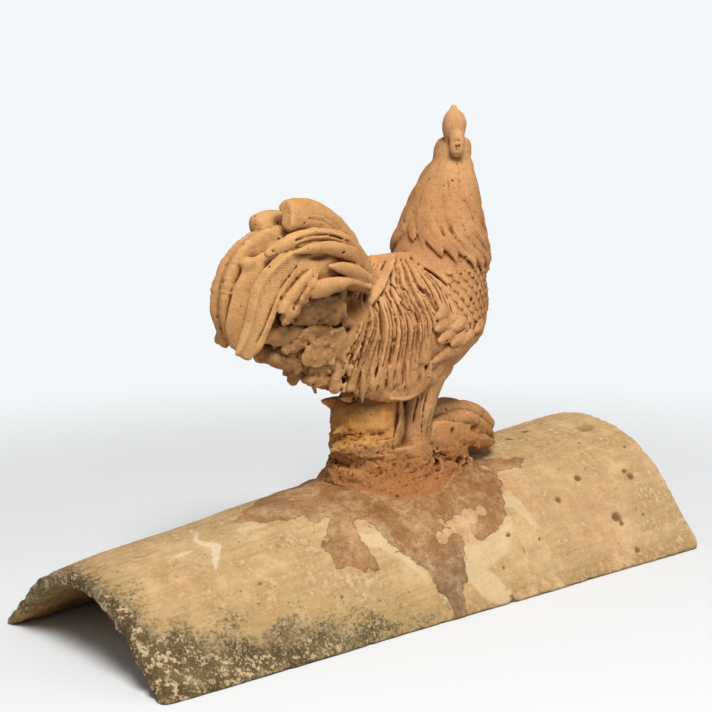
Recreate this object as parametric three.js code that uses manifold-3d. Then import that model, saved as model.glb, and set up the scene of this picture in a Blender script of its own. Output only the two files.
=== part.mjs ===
// A terracotta ridge tile with a rooster finial, in millimetres, +Z up.
// The ridge runs along X: the small end is at -X, the large end at +X.
// The rooster walks towards +X and turns its head to its left, towards +Y.
// The tile stands on its two long edges at z = 0.
import * as THREE from "three";
import { mergeVertices } from "three/addons/utils/BufferGeometryUtils.js";
import Module from "manifold-3d";

const wasm = await Module();
wasm.setup();

// Driving dimensions of the tile.
const TILE_LENGTH = 500;
const SMALL_END = { width: 197, height: 56, crownRadius: 95 };
const LARGE_END = { width: 244, height: 92, crownRadius: 108 };
const WALL_AT_CROWN = 13;
const WALL_AT_FOOT = 9;
const CROWN_BULGE = 5; // the ridge line is slightly convex towards the small end
const BULGE_REACH = 0.8; // share of the length that the bulge spans
const ARC_SHARE = 0.62; // share of the half outline that lies on the crown's arc
const BED_GAP = 0.3; // between the luted figure and the tile under it
const BED_REACH = { from: -100, to: 200 }; // along the ridge, well past the collar

// Driving dimensions of the figure.
const TOTAL_HEIGHT = 351;
const HEAD_TURN = THREE.MathUtils.degToRad(48);
const HEAD = { x: 91, y: 4, z: 318 };
const BASE_CENTRE_X = 26;

const RIGHT = -1; // the bird's right side is -Y
const LEFT = 1;

const vec = (x, y, z) => new THREE.Vector3(x, y, z);
const mix = THREE.MathUtils.lerp;

// ---- Solids from rings of points ----

function solid(positions, triangles) {
  const geometry = new THREE.BufferGeometry();
  geometry.setAttribute("position", new THREE.Float32BufferAttribute(positions, 3));
  geometry.setIndex(triangles);
  const merged = mergeVertices(geometry, 1e-3);
  return new wasm.Manifold(new wasm.Mesh({
    numProp: 3,
    vertProperties: merged.attributes.position.array,
    triVerts: new Uint32Array(merged.index.array),
  }));
}

// A skin over equal rings of points, closed at each end by a fan about a tip.
function skin(rings, firstTip, lastTip) {
  const n = rings[0].length;
  const positions = [...rings.flat(), firstTip, lastTip].flatMap((p) => [p.x, p.y, p.z]);
  const first = rings.length * n;
  const last = first + 1;
  const triangles = [];
  for (let k = 0; k < n; k++) {
    const next = (k + 1) % n;
    triangles.push(first, next, k);
    triangles.push(last, (rings.length - 1) * n + k, (rings.length - 1) * n + next);
    for (let i = 0; i + 1 < rings.length; i++) {
      const a = i * n + k;
      const b = i * n + next;
      triangles.push(a, b, b + n, a, b + n, a + n);
    }
  }
  const made = solid(positions, triangles);
  return made.volume() > 0 ? made : solid(positions, triangles.toReversed());
}

// The value at t in 0..1 along a short list of evenly spaced values.
function along(values, t) {
  const at = t * (values.length - 1);
  const i = Math.min(Math.floor(at), values.length - 2);
  const f = at - i;
  return mix(values[i], values[i + 1], f * f * (3 - 2 * f) * 0.5 + f * 0.5);
}

// A blade or limb swept along a smooth path. across and thick are half sizes along
// the path. The section's broad side lies along face x tangent, so face is the way
// that the blade's flat looks.
function sweep({ path, across, thick, face, steps = 8, sides = 8 }) {
  const curve = new THREE.CatmullRomCurve3(path.map((p) => vec(...p)), false, "centripetal");
  const look = vec(...face).normalize();
  const rings = [];
  for (let i = 0; i <= steps; i++) {
    const t = i / steps;
    const tangent = curve.getTangent(t);
    const side = look.clone().cross(tangent).normalize();
    const normal = tangent.clone().cross(side).normalize();
    const ring = [];
    for (let k = 0; k < sides; k++) {
      const angle = (2 * Math.PI * k) / sides;
      ring.push(curve.getPoint(t)
        .addScaledVector(side, along(across, t) * Math.cos(angle))
        .addScaledVector(normal, along(thick, t) * Math.sin(angle)));
    }
    rings.push(ring);
  }
  return skin(rings, curve.getPoint(0), curve.getPoint(1));
}

// A body of ellipses square to X: stations are [x, centre z, half width, half height].
function bodyAlongX(stations, sides) {
  const rings = stations.map(([x, z, wide, high]) => {
    const ring = [];
    for (let k = 0; k < sides; k++) {
      const angle = (2 * Math.PI * k) / sides;
      ring.push(vec(x, wide * Math.cos(angle), z + high * Math.sin(angle)));
    }
    return ring;
  });
  const [firstX, firstZ] = stations[0];
  const [lastX, lastZ] = stations.at(-1);
  return skin(rings, vec(firstX, 0, firstZ), vec(lastX, 0, lastZ));
}

// A body of level ellipses: stations are [z, centre x, centre y, half x, half y].
// rough(angle, z) scales the outline for ragged clay.
function bodyAlongZ(stations, sides, rough = () => 1) {
  const rings = stations.map(([z, x, y, halfX, halfY]) => {
    const ring = [];
    for (let k = 0; k < sides; k++) {
      const angle = (2 * Math.PI * k) / sides;
      const scale = rough(angle, z);
      ring.push(vec(x + halfX * scale * Math.cos(angle), y + halfY * scale * Math.sin(angle), z));
    }
    return ring;
  });
  const centre = ([z, x, y]) => vec(x, y, z);
  return skin(rings, centre(stations[0]), centre(stations.at(-1)));
}

function blob(x, y, z, rx, ry, rz) {
  const ball = new THREE.SphereGeometry(1, 8, 6);
  ball.deleteAttribute("normal");
  ball.deleteAttribute("uv");
  ball.scale(rx, ry, rz).translate(x, y, z);
  const merged = mergeVertices(ball, 1e-3);
  return solid(merged.attributes.position.array, [...merged.index.array]);
}

function join(solids) {
  return wasm.Manifold.union(solids);
}

// The outermost skin of a solid, with the small voids between joined pieces filled.
function filled(made) {
  return made.decompose().reduce((a, b) => (a.volume() > b.volume() ? a : b));
}

// ---- The tile ----

// One end's outline: an arc over the crown, then straight flanks down to z = 0.
function flankAngle({ width, height, crownRadius }) {
  let low = 0.1;
  let high = 1.4;
  for (let i = 0; i < 40; i++) {
    const angle = (low + high) / 2;
    const reach = width / 2 - crownRadius * Math.sin(angle);
    const drop = height - crownRadius + crownRadius * Math.cos(angle);
    if (drop > reach * Math.tan(angle)) low = angle;
    else high = angle;
  }
  return (low + high) / 2;
}

function sectionAt(x) {
  const t = x / TILE_LENGTH + 0.5;
  const bulge = CROWN_BULGE * Math.sin(Math.PI * Math.min(t / BULGE_REACH, 1));
  const section = {
    width: mix(SMALL_END.width, LARGE_END.width, t),
    height: mix(SMALL_END.height, LARGE_END.height, t) + bulge,
    crownRadius: mix(SMALL_END.crownRadius, LARGE_END.crownRadius, t),
  };
  return { ...section, angle: flankAngle(section) };
}

// The point at u in -1..1 from one foot over the crown to the other, moved in by depth.
function sectionPoint({ width, height, crownRadius, angle }, u, depth) {
  const side = Math.sign(u);
  const far = Math.abs(u);
  const tilt = angle * Math.min(far / ARC_SHARE, 1);
  const radius = crownRadius - depth;
  const arcY = radius * Math.sin(tilt);
  const arcZ = height - crownRadius + radius * Math.cos(tilt);
  if (far <= ARC_SHARE) return [side * arcY, arcZ];
  const footY = width / 2 - depth / Math.sin(angle);
  const share = (far - ARC_SHARE) / (1 - ARC_SHARE);
  return [side * mix(arcY, footY, share), mix(arcZ, 0, share)];
}

const wallAt = (u) => mix(WALL_AT_CROWN, WALL_AT_FOOT, Math.abs(u) ** 3);

function ridgeTile() {
  const stations = 8;
  const points = 20;
  const rings = [];
  for (let i = 0; i <= stations; i++) {
    const x = mix(-TILE_LENGTH / 2, TILE_LENGTH / 2, i / stations);
    const section = sectionAt(x);
    const ring = [];
    for (const outer of [true, false]) {
      for (let k = 0; k <= points; k++) {
        const u = (outer ? 1 : -1) * ((2 * k) / points - 1);
        const [y, z] = sectionPoint(section, u, outer ? 0 : wallAt(u));
        ring.push(vec(x, y, z));
      }
    }
    rings.push(ring);
  }
  return closeArch(rings, points);
}

// The skin of an arch whose rings run out over the crown and back underneath.
function closeArch(rings, points) {
  const n = rings[0].length;
  const triangles = [];
  const quad = (a, b, c, d) => triangles.push(a, b, c, a, c, d);
  for (let i = 0; i + 1 < rings.length; i++) {
    for (let k = 0; k < n; k++) {
      const next = (k + 1) % n;
      quad(i * n + k, (i + 1) * n + k, (i + 1) * n + next, i * n + next);
    }
  }
  const last = (rings.length - 1) * n;
  for (let k = 0; k < points; k++) {
    const under = n - 1 - k;
    quad(k, k + 1, under - 1, under);
    quad(last + k + 1, last + k, last + under, last + under - 1);
  }
  const positions = rings.flat().flatMap((p) => [p.x, p.y, p.z]);
  const made = solid(positions, triangles);
  return made.volume() > 0 ? made : solid(positions, triangles.toReversed());
}

// Everything below the tile's outer face, grown by the bed gap, to cut the figure with.
function underTile() {
  const stations = 15;
  const points = 40;
  const belowFoot = -10;
  const rings = [];
  for (let i = 0; i <= stations; i++) {
    const x = mix(BED_REACH.from, BED_REACH.to, i / stations);
    const section = sectionAt(x);
    const ring = [vec(x, 0, belowFoot)];
    for (let k = 0; k <= points; k++) {
      const [y, z] = sectionPoint(section, (2 * k) / points - 1, -BED_GAP);
      ring.push(vec(x, y, z));
    }
    rings.push(ring);
  }
  return skin(rings, vec(BED_REACH.from, 0, 0), vec(BED_REACH.to, 0, 0));
}

// ---- The figure: trunk, neck and head ----

function trunk() {
  return bodyAlongX([
    [-66, 194, 8, 9],
    [-56, 192, 18, 20],
    [-32, 190, 30, 32],
    [0, 188, 39, 42],
    [28, 187, 44, 47],
    [55, 188, 44, 47],
    [78, 193, 39, 41],
    [95, 197, 31, 33],
    [106, 200, 21, 23],
    [112, 202, 9, 10],
  ], 16);
}

// Level ellipses up the neck: [z, centre x, centre y, half x, half y].
const NECK = [
  [196, 64, 0, 38, 34],
  [212, 67, 0, 42, 40],
  [230, 71, 0, 40, 39],
  [250, 75, 0, 35.5, 35],
  [268, 79, 0, 30.5, 30.5],
  [287, 83, 1, 25.5, 25],
  [303, 87, 2, 19.5, 18.5],
  [314, 89, 3, 15, 14.5],
  [322, 90, 4, 12, 11],
];

function neck() {
  return bodyAlongZ(NECK, 16);
}

// The neck's centre x and mean radius at height z.
function neckAt(z) {
  const i = Math.max(NECK.findIndex(([level]) => level >= z), 1);
  const [lowZ, lowX, , lowA, lowB] = NECK[i - 1];
  const [highZ, highX, , highA, highB] = NECK[i];
  const t = (z - lowZ) / (highZ - lowZ);
  return { x: mix(lowX, highX, t), radius: mix(lowA + lowB, highA + highB, t) / 2 };
}

// Pointed locks round the lower edge of the hackle cape.
function hackleLocks() {
  const locks = [];
  const count = 12;
  for (let i = 0; i < count; i++) {
    const turn = (2 * Math.PI * i) / count;
    const outX = Math.cos(turn);
    const outY = Math.sin(turn);
    // The cape hangs lower at the breast and the shoulders than over the back.
    const low = 226 - 8 * outX + (outX < 0 ? 16 * outX * outX : 0) + 4 * (i % 2);
    const at = (z, proud) => {
      const { x, radius } = neckAt(z);
      return [x + outX * (radius + proud), outY * (radius + proud), z];
    };
    locks.push(sweep({
      path: [at(low + 40, -2), at(low + 20, 0), at(low, 1.5)],
      across: [3, 8.5, 7, 1.2],
      thick: [2, 4.5, 4, 1],
      face: [outX, outY, 0.3],
      steps: 3,
      sides: 4,
    }));
  }
  return locks;
}

// The head, its comb and wattles are built facing +X, then turned and set in place.
function head() {
  const pieces = [
    blob(2, 0, 0, 19, 12.5, 13.5),
    // The short beak.
    sweep({ path: [[16, 0, -1], [27, 0, -2], [36, 0, -7]], across: [7, 5, 1.2],
      thick: [6, 4.5, 1.2], face: [0, 0, 1], steps: 3, sides: 6 }),
    // The comb: one thick blade with a rounded back lobe and three low points.
    sweep({ path: [[-15, 0, 4], [-10, 0, 21], [4, 0, 21], [20, 0, 10]],
      across: [4, 10, 11, 8, 4], thick: [4, 6, 5.5, 4, 3], face: [0, 1, 0], steps: 6, sides: 6 }),
    blob(-9, 0, 22, 9, 8, TOTAL_HEIGHT - HEAD.z - 22),
    blob(4, 0, 20, 5, 4, 10),
    blob(14, 0, 16, 5, 3.5, 8),
    // The comb's blade hanging behind the skull, broken off short.
    blob(-16, -1, 5, 5, 5.5, 11),
  ];
  // Cheeks and wattles.
  for (const side of [RIGHT, LEFT]) {
    pieces.push(blob(3, side * 9, -1, 9, 5.5, 7));
    pieces.push(sweep({ path: [[17, side * 4, -8], [18, side * 5, -16], [17, side * 4.5, -23]],
      across: [3, 6, 4], thick: [2, 3.2, 2], face: [0, 1, 0], steps: 3, sides: 6 }));
  }
  return join(pieces).rotate([0, 0, THREE.MathUtils.radToDeg(HEAD_TURN)])
    .translate([HEAD.x, HEAD.y, HEAD.z]);
}

// ---- Plumage ----

// Long narrow saddle feathers, hanging from the back over each flank.
function saddle(side) {
  const feathers = [];
  const count = side === RIGHT ? 7 : 5;
  for (let i = 0; i < count; i++) {
    const t = i / (count - 1);
    const rootX = mix(-14, 34, t);
    const tipX = mix(-44, 34, t) - 3 * (i % 2);
    const tipZ = mix(152, 146, t) + (t > 0.6 ? (t - 0.6) * 90 : 0) + 5 * (i % 3);
    feathers.push(sweep({
      path: [
        [rootX, side * 12, 236],
        [mix(-24, 38, t), side * 33, 222],
        [mix(-36, 39, t), side * mix(37, 46, t), 193],
        [tipX, side * mix(32, 42, t), tipZ],
      ],
      across: [3, 6, 6.5, 6, 1.5],
      thick: [3, 4.5, 4.5, 4, 1.5],
      face: [0, side, 0.4],
      steps: 5,
      sides: 4,
    }));
  }
  return feathers;
}

// The wing lies close on the shoulder, with a few broad feathers under its edge.
function wing(side) {
  const feathers = [];
  for (let i = 0; i < 4; i++) {
    const t = i / 3;
    feathers.push(sweep({
      path: [
        [mix(84, 66, t), side * mix(36, 41, t), mix(212, 182, t)],
        [mix(66, 54, t), side * 44.5, mix(196, 170, t)],
        [mix(44, 40, t), side * mix(45, 37, t), mix(184, 154, t)],
      ],
      across: [5, 9, 8, 2],
      thick: [3, 4, 3.5, 1.5],
      face: [0, side, 0],
      steps: 4,
      sides: 4,
    }));
  }
  return feathers;
}

// ---- Tail ----

// The closed fan of stiff feathers that the arching ones lie over.
function tailCore() {
  return [
    sweep({ path: [[-10, 0, 216], [-38, 0, 240], [-78, 0, 236], [-113, 0, 198]],
      across: [22, 28, 28, 16], thick: [16, 20, 20, 17], face: [0, 1, 0], steps: 4, sides: 8 }),
    sweep({ path: [[-20, 0, 190], [-56, 0, 196], [-92, 0, 194]],
      across: [22, 26, 14], thick: [14, 17, 10], face: [0, 1, 0], steps: 3, sides: 8 }),
  ];
}

// The two top feathers, both broken: a long blunt one and a short stub.
function topFeathers() {
  return [
    sweep({ path: [[-10, -8, 228], [-30, -9, 254], [-52, -10, 273], [-77, -9, 276]],
      across: [9, 13, 15, 12.5], thick: [7, 8, 7, 5.5], face: [-0.3, -1, 0.5], steps: 5, sides: 6 }),
    sweep({ path: [[-24, 12, 250], [-60, 12, 267], [-90, 11, 270]],
      across: [10, 12, 10], thick: [8, 9, 8], face: [0, 1, 0.5], steps: 3, sides: 6 }),
  ];
}

// Arching sickle feathers of one side, from the outermost in.
function sickles(side) {
  const make = (path, across, thick, lean = 0) => sweep({
    path: path.map(([x, y, z]) => [x, side * y, z]),
    across, thick, face: [lean, side, 0.15], steps: 6, sides: 6,
  });
  return [
    make([[-6, 8, 232], [-38, 12, 258], [-76, 13, 260],
      [-102, 13, 244], [-112, 12, 218], [-112, 11, 196]],
    [6, 9, 12, 14, 14, 8], [6, 8, 9, 10, 10, 8], -0.3),
    make([[-8, 14, 234], [-40, 18, 252], [-78, 19, 252],
      [-104, 18, 233], [-116, 17, 208], [-119, 16, 188]],
    [5, 8, 11, 14, 13, 6], [5, 7, 8, 8, 7, 5]),
    make([[-16, 22, 232], [-48, 25, 243], [-80, 26, 243],
      [-105, 25, 226], [-119, 22, 202], [-126, 20, 186]],
    [5, 8, 12, 14, 12, 6], [5, 6, 6, 7, 6, 4], 0.3),
  ];
}

// Small coverts that hang inside the arch on the side that shows.
function innerCoverts() {
  const make = (path, across, thick) => sweep({
    path, across, thick, face: [0, RIGHT, 0.15], steps: 6, sides: 6,
  });
  return [
    make([[-20, -26, 237], [-46, -28, 251], [-68, -29, 254], [-91, -28, 249]],
      [5, 7, 6.5, 1.5], [4, 5, 5, 1.5]),
    make([[-56, -27, 244], [-80, -30, 237], [-94, -31, 221], [-101, -30, 207]],
      [5, 8, 8.5, 6], [4, 5.5, 6, 4]),
    make([[-22, -29, 228], [-52, -33, 232], [-81, -32, 222]],
      [5, 8, 6, 1.5], [4, 5.5, 5, 1.5]),
  ];
}

// Rounded under-tail coverts: a few overlapping petals.
function underTail(side) {
  const petal = (x, y, z, long, wide, thick, pitch) => {
    const dx = Math.cos(pitch) * long;
    const dz = Math.sin(pitch) * long;
    return sweep({
      path: [[x + dx, side * (y - 4), z + dz], [x, side * y, z], [x - dx, side * y, z - dz]],
      across: [wide * 0.5, wide, wide * 0.9, wide * 0.5],
      thick: [thick * 0.6, thick, thick * 0.8, thick * 0.5],
      face: [-0.3, side, -0.2],
      steps: 3,
      sides: 6,
    });
  };
  return [
    petal(-52, 19, 187, 17, 12, 8, 0.45),
    petal(-42, 14, 167, 14, 11, 8, 0.5),
  ];
}

// ---- Legs, foot and rock ----

function legs() {
  const pieces = [];
  for (const side of [RIGHT, LEFT]) {
    pieces.push(sweep({
      path: [[42, side * 24, 176], [38, side * 21, 146], [34, side * 18, 118], [32, side * 18, 70]],
      across: [22, 18, 13.5, 15], thick: [17, 15, 12.5, 14], face: [0, 1, 0], steps: 4, sides: 8,
    }));
  }
  return pieces;
}

// One foot: toes that spring from the shank and curl over the rock, broken at the ends.
function foot(side) {
  const toe = (path, radius) => sweep({
    path: path.map(([x, y, z]) => [x, side * y, z]),
    across: radius, thick: radius, face: [0, side, 0.2], steps: 4, sides: 6,
  });
  const outer = toe([[40, 24, 100], [58, 29, 100], [80, 29, 94], [96, 26, 88]],
    [8, 7, 7, 5.5]);
  return [
    toe([[44, 12, 118], [70, 9, 120], [91, 8, 118], [109, 8, 107], [121, 8, 94]],
      [9, 8, 7.5, 7, 6]),
    toe([[44, 19, 111], [66, 21, 113], [86, 21, 110], [101, 20, 99], [109, 19, 91]],
      [9, 8, 7, 6.5, 6]),
    ...(side === RIGHT ? [outer] : []),
  ];
}

// Lumpy clay: slow waves round the outline that change with height.
const ragged = (depth) => (angle, z) => 1
  + depth * Math.sin(3 * angle + z * 0.11)
  + depth * 0.7 * Math.sin(5 * angle - z * 0.23 + 1)
  + depth * 0.6 * Math.sin(9 * angle + z * 0.37 + 2);

function rockAndCollar() {
  const pieces = [
    // Collar of soft clay smeared out over the crown.
    bodyAlongZ([
      [40, BASE_CENTRE_X, 0, 66, 56],
      [64, BASE_CENTRE_X, 0, 66, 54],
      [74, BASE_CENTRE_X, 0, 68, 46],
      [82, BASE_CENTRE_X, 0, 62, 39],
    ], 20, ragged(0.03)),
    // Mound under the legs.
    bodyAlongZ([
      [60, 22, 0, 55, 40],
      [84, 21, 0, 52, 37],
      [94, 18, 0, 49, 35],
      [104, 14, 0, 44, 33],
    ], 18, ragged(0.045)),
    // Rough block that holds the rump up.
    bodyAlongZ([
      [90, -1, 0, 31, 28],
      [108, -3, 0, 28, 27],
      [118, -2, 0, 29, 26],
      [132, 0, 0, 26, 25],
      [136, 3, 0, 20, 21],
      [160, 0, 0, 24, 24],
    ], 14, ragged(0.05)),
    // Rock spur that the toes grip.
    bodyAlongZ([
      [60, 74, 0, 34, 34],
      [84, 72, 0, 32, 30],
      [100, 68, 0, 28, 26],
      [112, 62, 0, 24, 20],
    ], 14, ragged(0.05)),
  ];
  return pieces;
}

// Holes pressed or worn into the rock: under the arched toes and beside the shank.
function hollows() {
  return [
    blob(54, -36, 88, 5, 9, 7),
    blob(72, -34, 86, 4, 8, 5),
    blob(9, -32, 116, 2.2, 12, 15),
  ];
}

function rooster() {
  const body = join([
    trunk(), neck(), head(),
    ...hackleLocks(),
    ...tailCore(), ...topFeathers(), ...innerCoverts(),
    ...legs(), ...rockAndCollar(),
  ]);
  const plumage = [RIGHT, LEFT].flatMap((side) => [
    ...saddle(side), ...wing(side), ...sickles(side), ...underTail(side), ...foot(side),
  ]);
  const whole = join([body, ...plumage]).subtract(join(hollows())).subtract(underTile());
  return filled(whole);
}

// ---- The part ----

function mesh(name, made, colour) {
  const { vertProperties, triVerts } = made.getMesh();
  const geometry = new THREE.BufferGeometry();
  geometry.setAttribute("position", new THREE.BufferAttribute(vertProperties, 3));
  geometry.setIndex(new THREE.BufferAttribute(triVerts, 1));
  const material = new THREE.MeshStandardMaterial({ color: colour, roughness: 0.9, metalness: 0 });
  const piece = new THREE.Mesh(geometry, material);
  piece.name = name;
  return piece;
}

const part = new THREE.Group();
part.add(mesh("ridge_tile", ridgeTile(), 0xc79a63));
part.add(mesh("rooster", rooster(), 0xc9814f));

export default part;
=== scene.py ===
import math

import bmesh
import bpy
import numpy as np
import openvdb
from mathutils import Matrix, Vector


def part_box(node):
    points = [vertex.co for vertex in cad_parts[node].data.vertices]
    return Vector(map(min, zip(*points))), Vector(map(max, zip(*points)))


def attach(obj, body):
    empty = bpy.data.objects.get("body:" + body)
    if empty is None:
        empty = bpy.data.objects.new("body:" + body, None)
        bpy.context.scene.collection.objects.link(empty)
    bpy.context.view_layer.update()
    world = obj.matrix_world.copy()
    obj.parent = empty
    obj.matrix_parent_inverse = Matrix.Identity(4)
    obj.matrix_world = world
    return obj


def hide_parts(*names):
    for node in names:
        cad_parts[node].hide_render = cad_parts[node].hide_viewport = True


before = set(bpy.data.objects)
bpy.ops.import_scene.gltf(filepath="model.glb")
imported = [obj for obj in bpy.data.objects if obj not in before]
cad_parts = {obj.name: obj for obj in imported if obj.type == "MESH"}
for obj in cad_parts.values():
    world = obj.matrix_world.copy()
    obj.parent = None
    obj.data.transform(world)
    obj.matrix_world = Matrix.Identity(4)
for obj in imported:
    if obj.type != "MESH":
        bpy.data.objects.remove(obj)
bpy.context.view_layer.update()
MM = 0.001

# ---------------------------------------------------------------------------
# The stand: a pale table under soft daylight, seen from behind the bird's right
# shoulder. The table fades out at its rim, so that nothing of a room shows.
# ---------------------------------------------------------------------------
VIEW_FROM = Vector((-0.6787, -0.7537, 0.3304))
VIEW_ALONG = Vector((0.6543, 0.7397, -0.1574)).normalized()
VIEW_UP = Vector((0.108, 0.115, 0.988))
LENS_MM = 70.95
TABLE_RADIUS = 6.0
TABLE_WHITE = (0.67, 0.68, 0.69, 1)
SKY_WHITE = (0.93, 0.955, 0.97, 1)

camera_data = bpy.data.cameras.new("camera")
camera_data.lens = LENS_MM
camera_data.sensor_width = 36
camera = bpy.data.objects.new("camera", camera_data)
right = VIEW_ALONG.cross(VIEW_UP).normalized()
up = right.cross(VIEW_ALONG)
camera.matrix_world = Matrix.Translation(VIEW_FROM) @ Matrix(
    (right, up, -VIEW_ALONG)).transposed().to_4x4()
bpy.context.scene.collection.objects.link(camera)
bpy.context.scene.camera = camera
bpy.context.scene.view_settings.view_transform = "Standard"


def softbox(name, place, target, size, watts, colour=(1, 1, 1)):
    """A square studio light at place, turned towards target."""
    data = bpy.data.lights.new(name, "AREA")
    data.shape = "SQUARE"
    data.size = size
    data.energy = watts
    data.color = colour
    light = bpy.data.objects.new(name, data)
    light.location = place
    light.rotation_euler = (Vector(target) - Vector(place)).to_track_quat("-Z", "Y").to_euler()
    bpy.context.scene.collection.objects.link(light)
    return light


softbox("window_light", (-0.75, -1.3, 2.4), (0, 0, 0.15), 1.1, 92, (1.0, 0.985, 0.96))
softbox("side_fill", (1.4, -2.2, 1.3), (0, 0, 0.15), 1.6, 10, (1.0, 0.97, 0.93))

world = bpy.data.worlds.new("daylight")
world.use_nodes = True
sky = world.node_tree.nodes["Background"]
sky.inputs["Color"].default_value = SKY_WHITE
# The pale backdrop is brighter than the light that it gives.
seen_rays = world.node_tree.nodes.new("ShaderNodeLightPath")
strength = world.node_tree.nodes.new("ShaderNodeMapRange")
strength.inputs["To Min"].default_value = 0.34
strength.inputs["To Max"].default_value = 0.97
world.node_tree.links.new(seen_rays.outputs["Is Camera Ray"], strength.inputs["Value"])
world.node_tree.links.new(strength.outputs["Result"], sky.inputs["Strength"])
bpy.context.scene.world = world


def new_material(name):
    """An empty node material and its tree, with the output node in place."""
    material = bpy.data.materials.new(name)
    material.use_nodes = True
    tree = material.node_tree
    tree.nodes.clear()
    tree.nodes.new("ShaderNodeOutputMaterial")
    return material, tree


def node(tree, kind, settings=None, **sockets):
    """A node of that kind. A socket takes a value or another node's output."""
    made = tree.nodes.new(kind)
    for key, value in (settings or {}).items():
        setattr(made, key, value)
    for key, value in sockets.items():
        socket = made.inputs[int(key[1:])] if key[0] == "_" else made.inputs[key.replace("_", " ")]
        if isinstance(value, bpy.types.NodeSocket):
            tree.links.new(value, socket)
        else:
            socket.default_value = value
    return made


table_material, tree = new_material("table_paper")
spot = node(tree, "ShaderNodeTexCoord").outputs["Object"]
reach = node(tree, "ShaderNodeVectorMath", {"operation": "LENGTH"}, _0=spot).outputs["Value"]
fade = node(tree, "ShaderNodeMapRange", {"interpolation_type": "SMOOTHSTEP"}, Value=reach,
            From_Min=0.34, From_Max=0.9).outputs["Result"]
paper = node(tree, "ShaderNodeBsdfDiffuse", Color=TABLE_WHITE).outputs[0]
clear = node(tree, "ShaderNodeBsdfTransparent").outputs[0]
tree.links.new(node(tree, "ShaderNodeMixShader", _0=fade, _1=paper, _2=clear).outputs[0],
               tree.nodes["Material Output"].inputs["Surface"])
table_mesh = bpy.data.meshes.new("table")
rim = [(TABLE_RADIUS * math.cos(a), TABLE_RADIUS * math.sin(a), -0.0002)
       for a in np.linspace(0, 2 * math.pi, 64, endpoint=False)]
table_mesh.from_pydata(rim, [], [list(range(64))])
table_mesh.materials.append(table_material)
table = bpy.data.objects.new("table", table_mesh)
bpy.context.scene.collection.objects.link(table)

# ---------------------------------------------------------------------------
# The ridge tile: a tapered half-round tile of tan fired clay, pressed over a
# mould and smoothed lengthwise by hand. Its ends and long edges are worn.
# ---------------------------------------------------------------------------
TILE_LENGTH = 500.0
WIDTHS = (197.0, 244.0)         # across the long edges, small end then large end
HEIGHTS = (56.0, 92.0)
CROWN_RADII = (95.0, 108.0)
CROWN_BULGE = 5.0
BULGE_REACH = 0.8
WALL_CROWN, WALL_FOOT = 13.0, 9.0
LENGTH_STEPS = 290
ROUND_STEPS = 132
EDGE_ROUND = 2.6
tile_low, tile_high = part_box("ridge_tile")


def tile_section(x):
    """Width, height, crown radius and flank angle of the outer face at x."""
    t = x / TILE_LENGTH + 0.5
    wide = WIDTHS[0] + (WIDTHS[1] - WIDTHS[0]) * t
    bulge = CROWN_BULGE * np.sin(np.pi * np.minimum(np.clip(t, 0, 1) / BULGE_REACH, 1))
    high = HEIGHTS[0] + (HEIGHTS[1] - HEIGHTS[0]) * t + bulge
    radius = CROWN_RADII[0] + (CROWN_RADII[1] - CROWN_RADII[0]) * t
    least, most = np.full_like(t, 0.1), np.full_like(t, 1.4)
    for _ in range(30):
        angle = (least + most) / 2
        reach = wide / 2 - radius * np.sin(angle)
        over = high - radius + radius * np.cos(angle) > reach * np.tan(angle)
        least, most = np.where(over, angle, least), np.where(over, most, angle)
    return wide, high, radius, (least + most) / 2


def tile_half_arc(x):
    """The distance over the outer face from the crown to a foot."""
    wide, high, radius, angle = tile_section(x)
    return radius * angle + (wide / 2 - radius * np.sin(angle)) / np.cos(angle)


def tile_point(x, s, depth):
    """The point at arc distance s from the crown at x, moved in by depth, and its tilt."""
    wide, high, radius, angle = tile_section(x)
    side = np.where(s < 0, -1.0, 1.0)
    far = np.abs(s)
    tilt = np.minimum(far / radius, angle)
    past = far - radius * tilt
    y = (radius - depth) * np.sin(tilt) + past * np.cos(tilt)
    z = high - radius + (radius - depth) * np.cos(tilt) - past * np.sin(tilt)
    return side * y, z, side * tilt


def drift(a, b, size_a, size_b, seed):
    """Smooth noise in -1..1 over two flat coordinates, with hills of those sizes."""
    lattice = np.random.default_rng(seed).uniform(-1, 1, (256, 256))
    ga, gb = a / size_a + 100.0, b / size_b + 100.0
    ia, ib = np.floor(ga).astype(int), np.floor(gb).astype(int)
    fa, fb = ga - ia, gb - ib
    fa, fb = fa * fa * (3 - 2 * fa), fb * fb * (3 - 2 * fb)
    ia, ib = ia % 255, ib % 255
    low = lattice[ia, ib] * (1 - fb) + lattice[ia, ib + 1] * fb
    high = lattice[ia + 1, ib] * (1 - fb) + lattice[ia + 1, ib + 1] * fb
    return low * (1 - fa) + high * fa


def near(value, centre, width):
    """A soft bump: 1 at the centre, 0 from that width away."""
    return np.clip(1 - np.abs(value - centre) / width, 0, 1) ** 2


def stroke(x, s, line, widths):
    """How far inside a band each point is, in mm: line is [(x, s), ...]."""
    best = np.full(np.shape(x), -999.0)
    for (ax, as_), (bx, bs), wa, wb in zip(line, line[1:], widths, widths[1:]):
        dx, ds = bx - ax, bs - as_
        t = np.clip(((x - ax) * dx + (s - as_) * ds) / (dx * dx + ds * ds), 0, 1)
        gap = np.hypot(x - ax - t * dx, s - as_ - t * ds)
        best = np.maximum(best, wa + (wb - wa) * t - gap)
    return best


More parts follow.
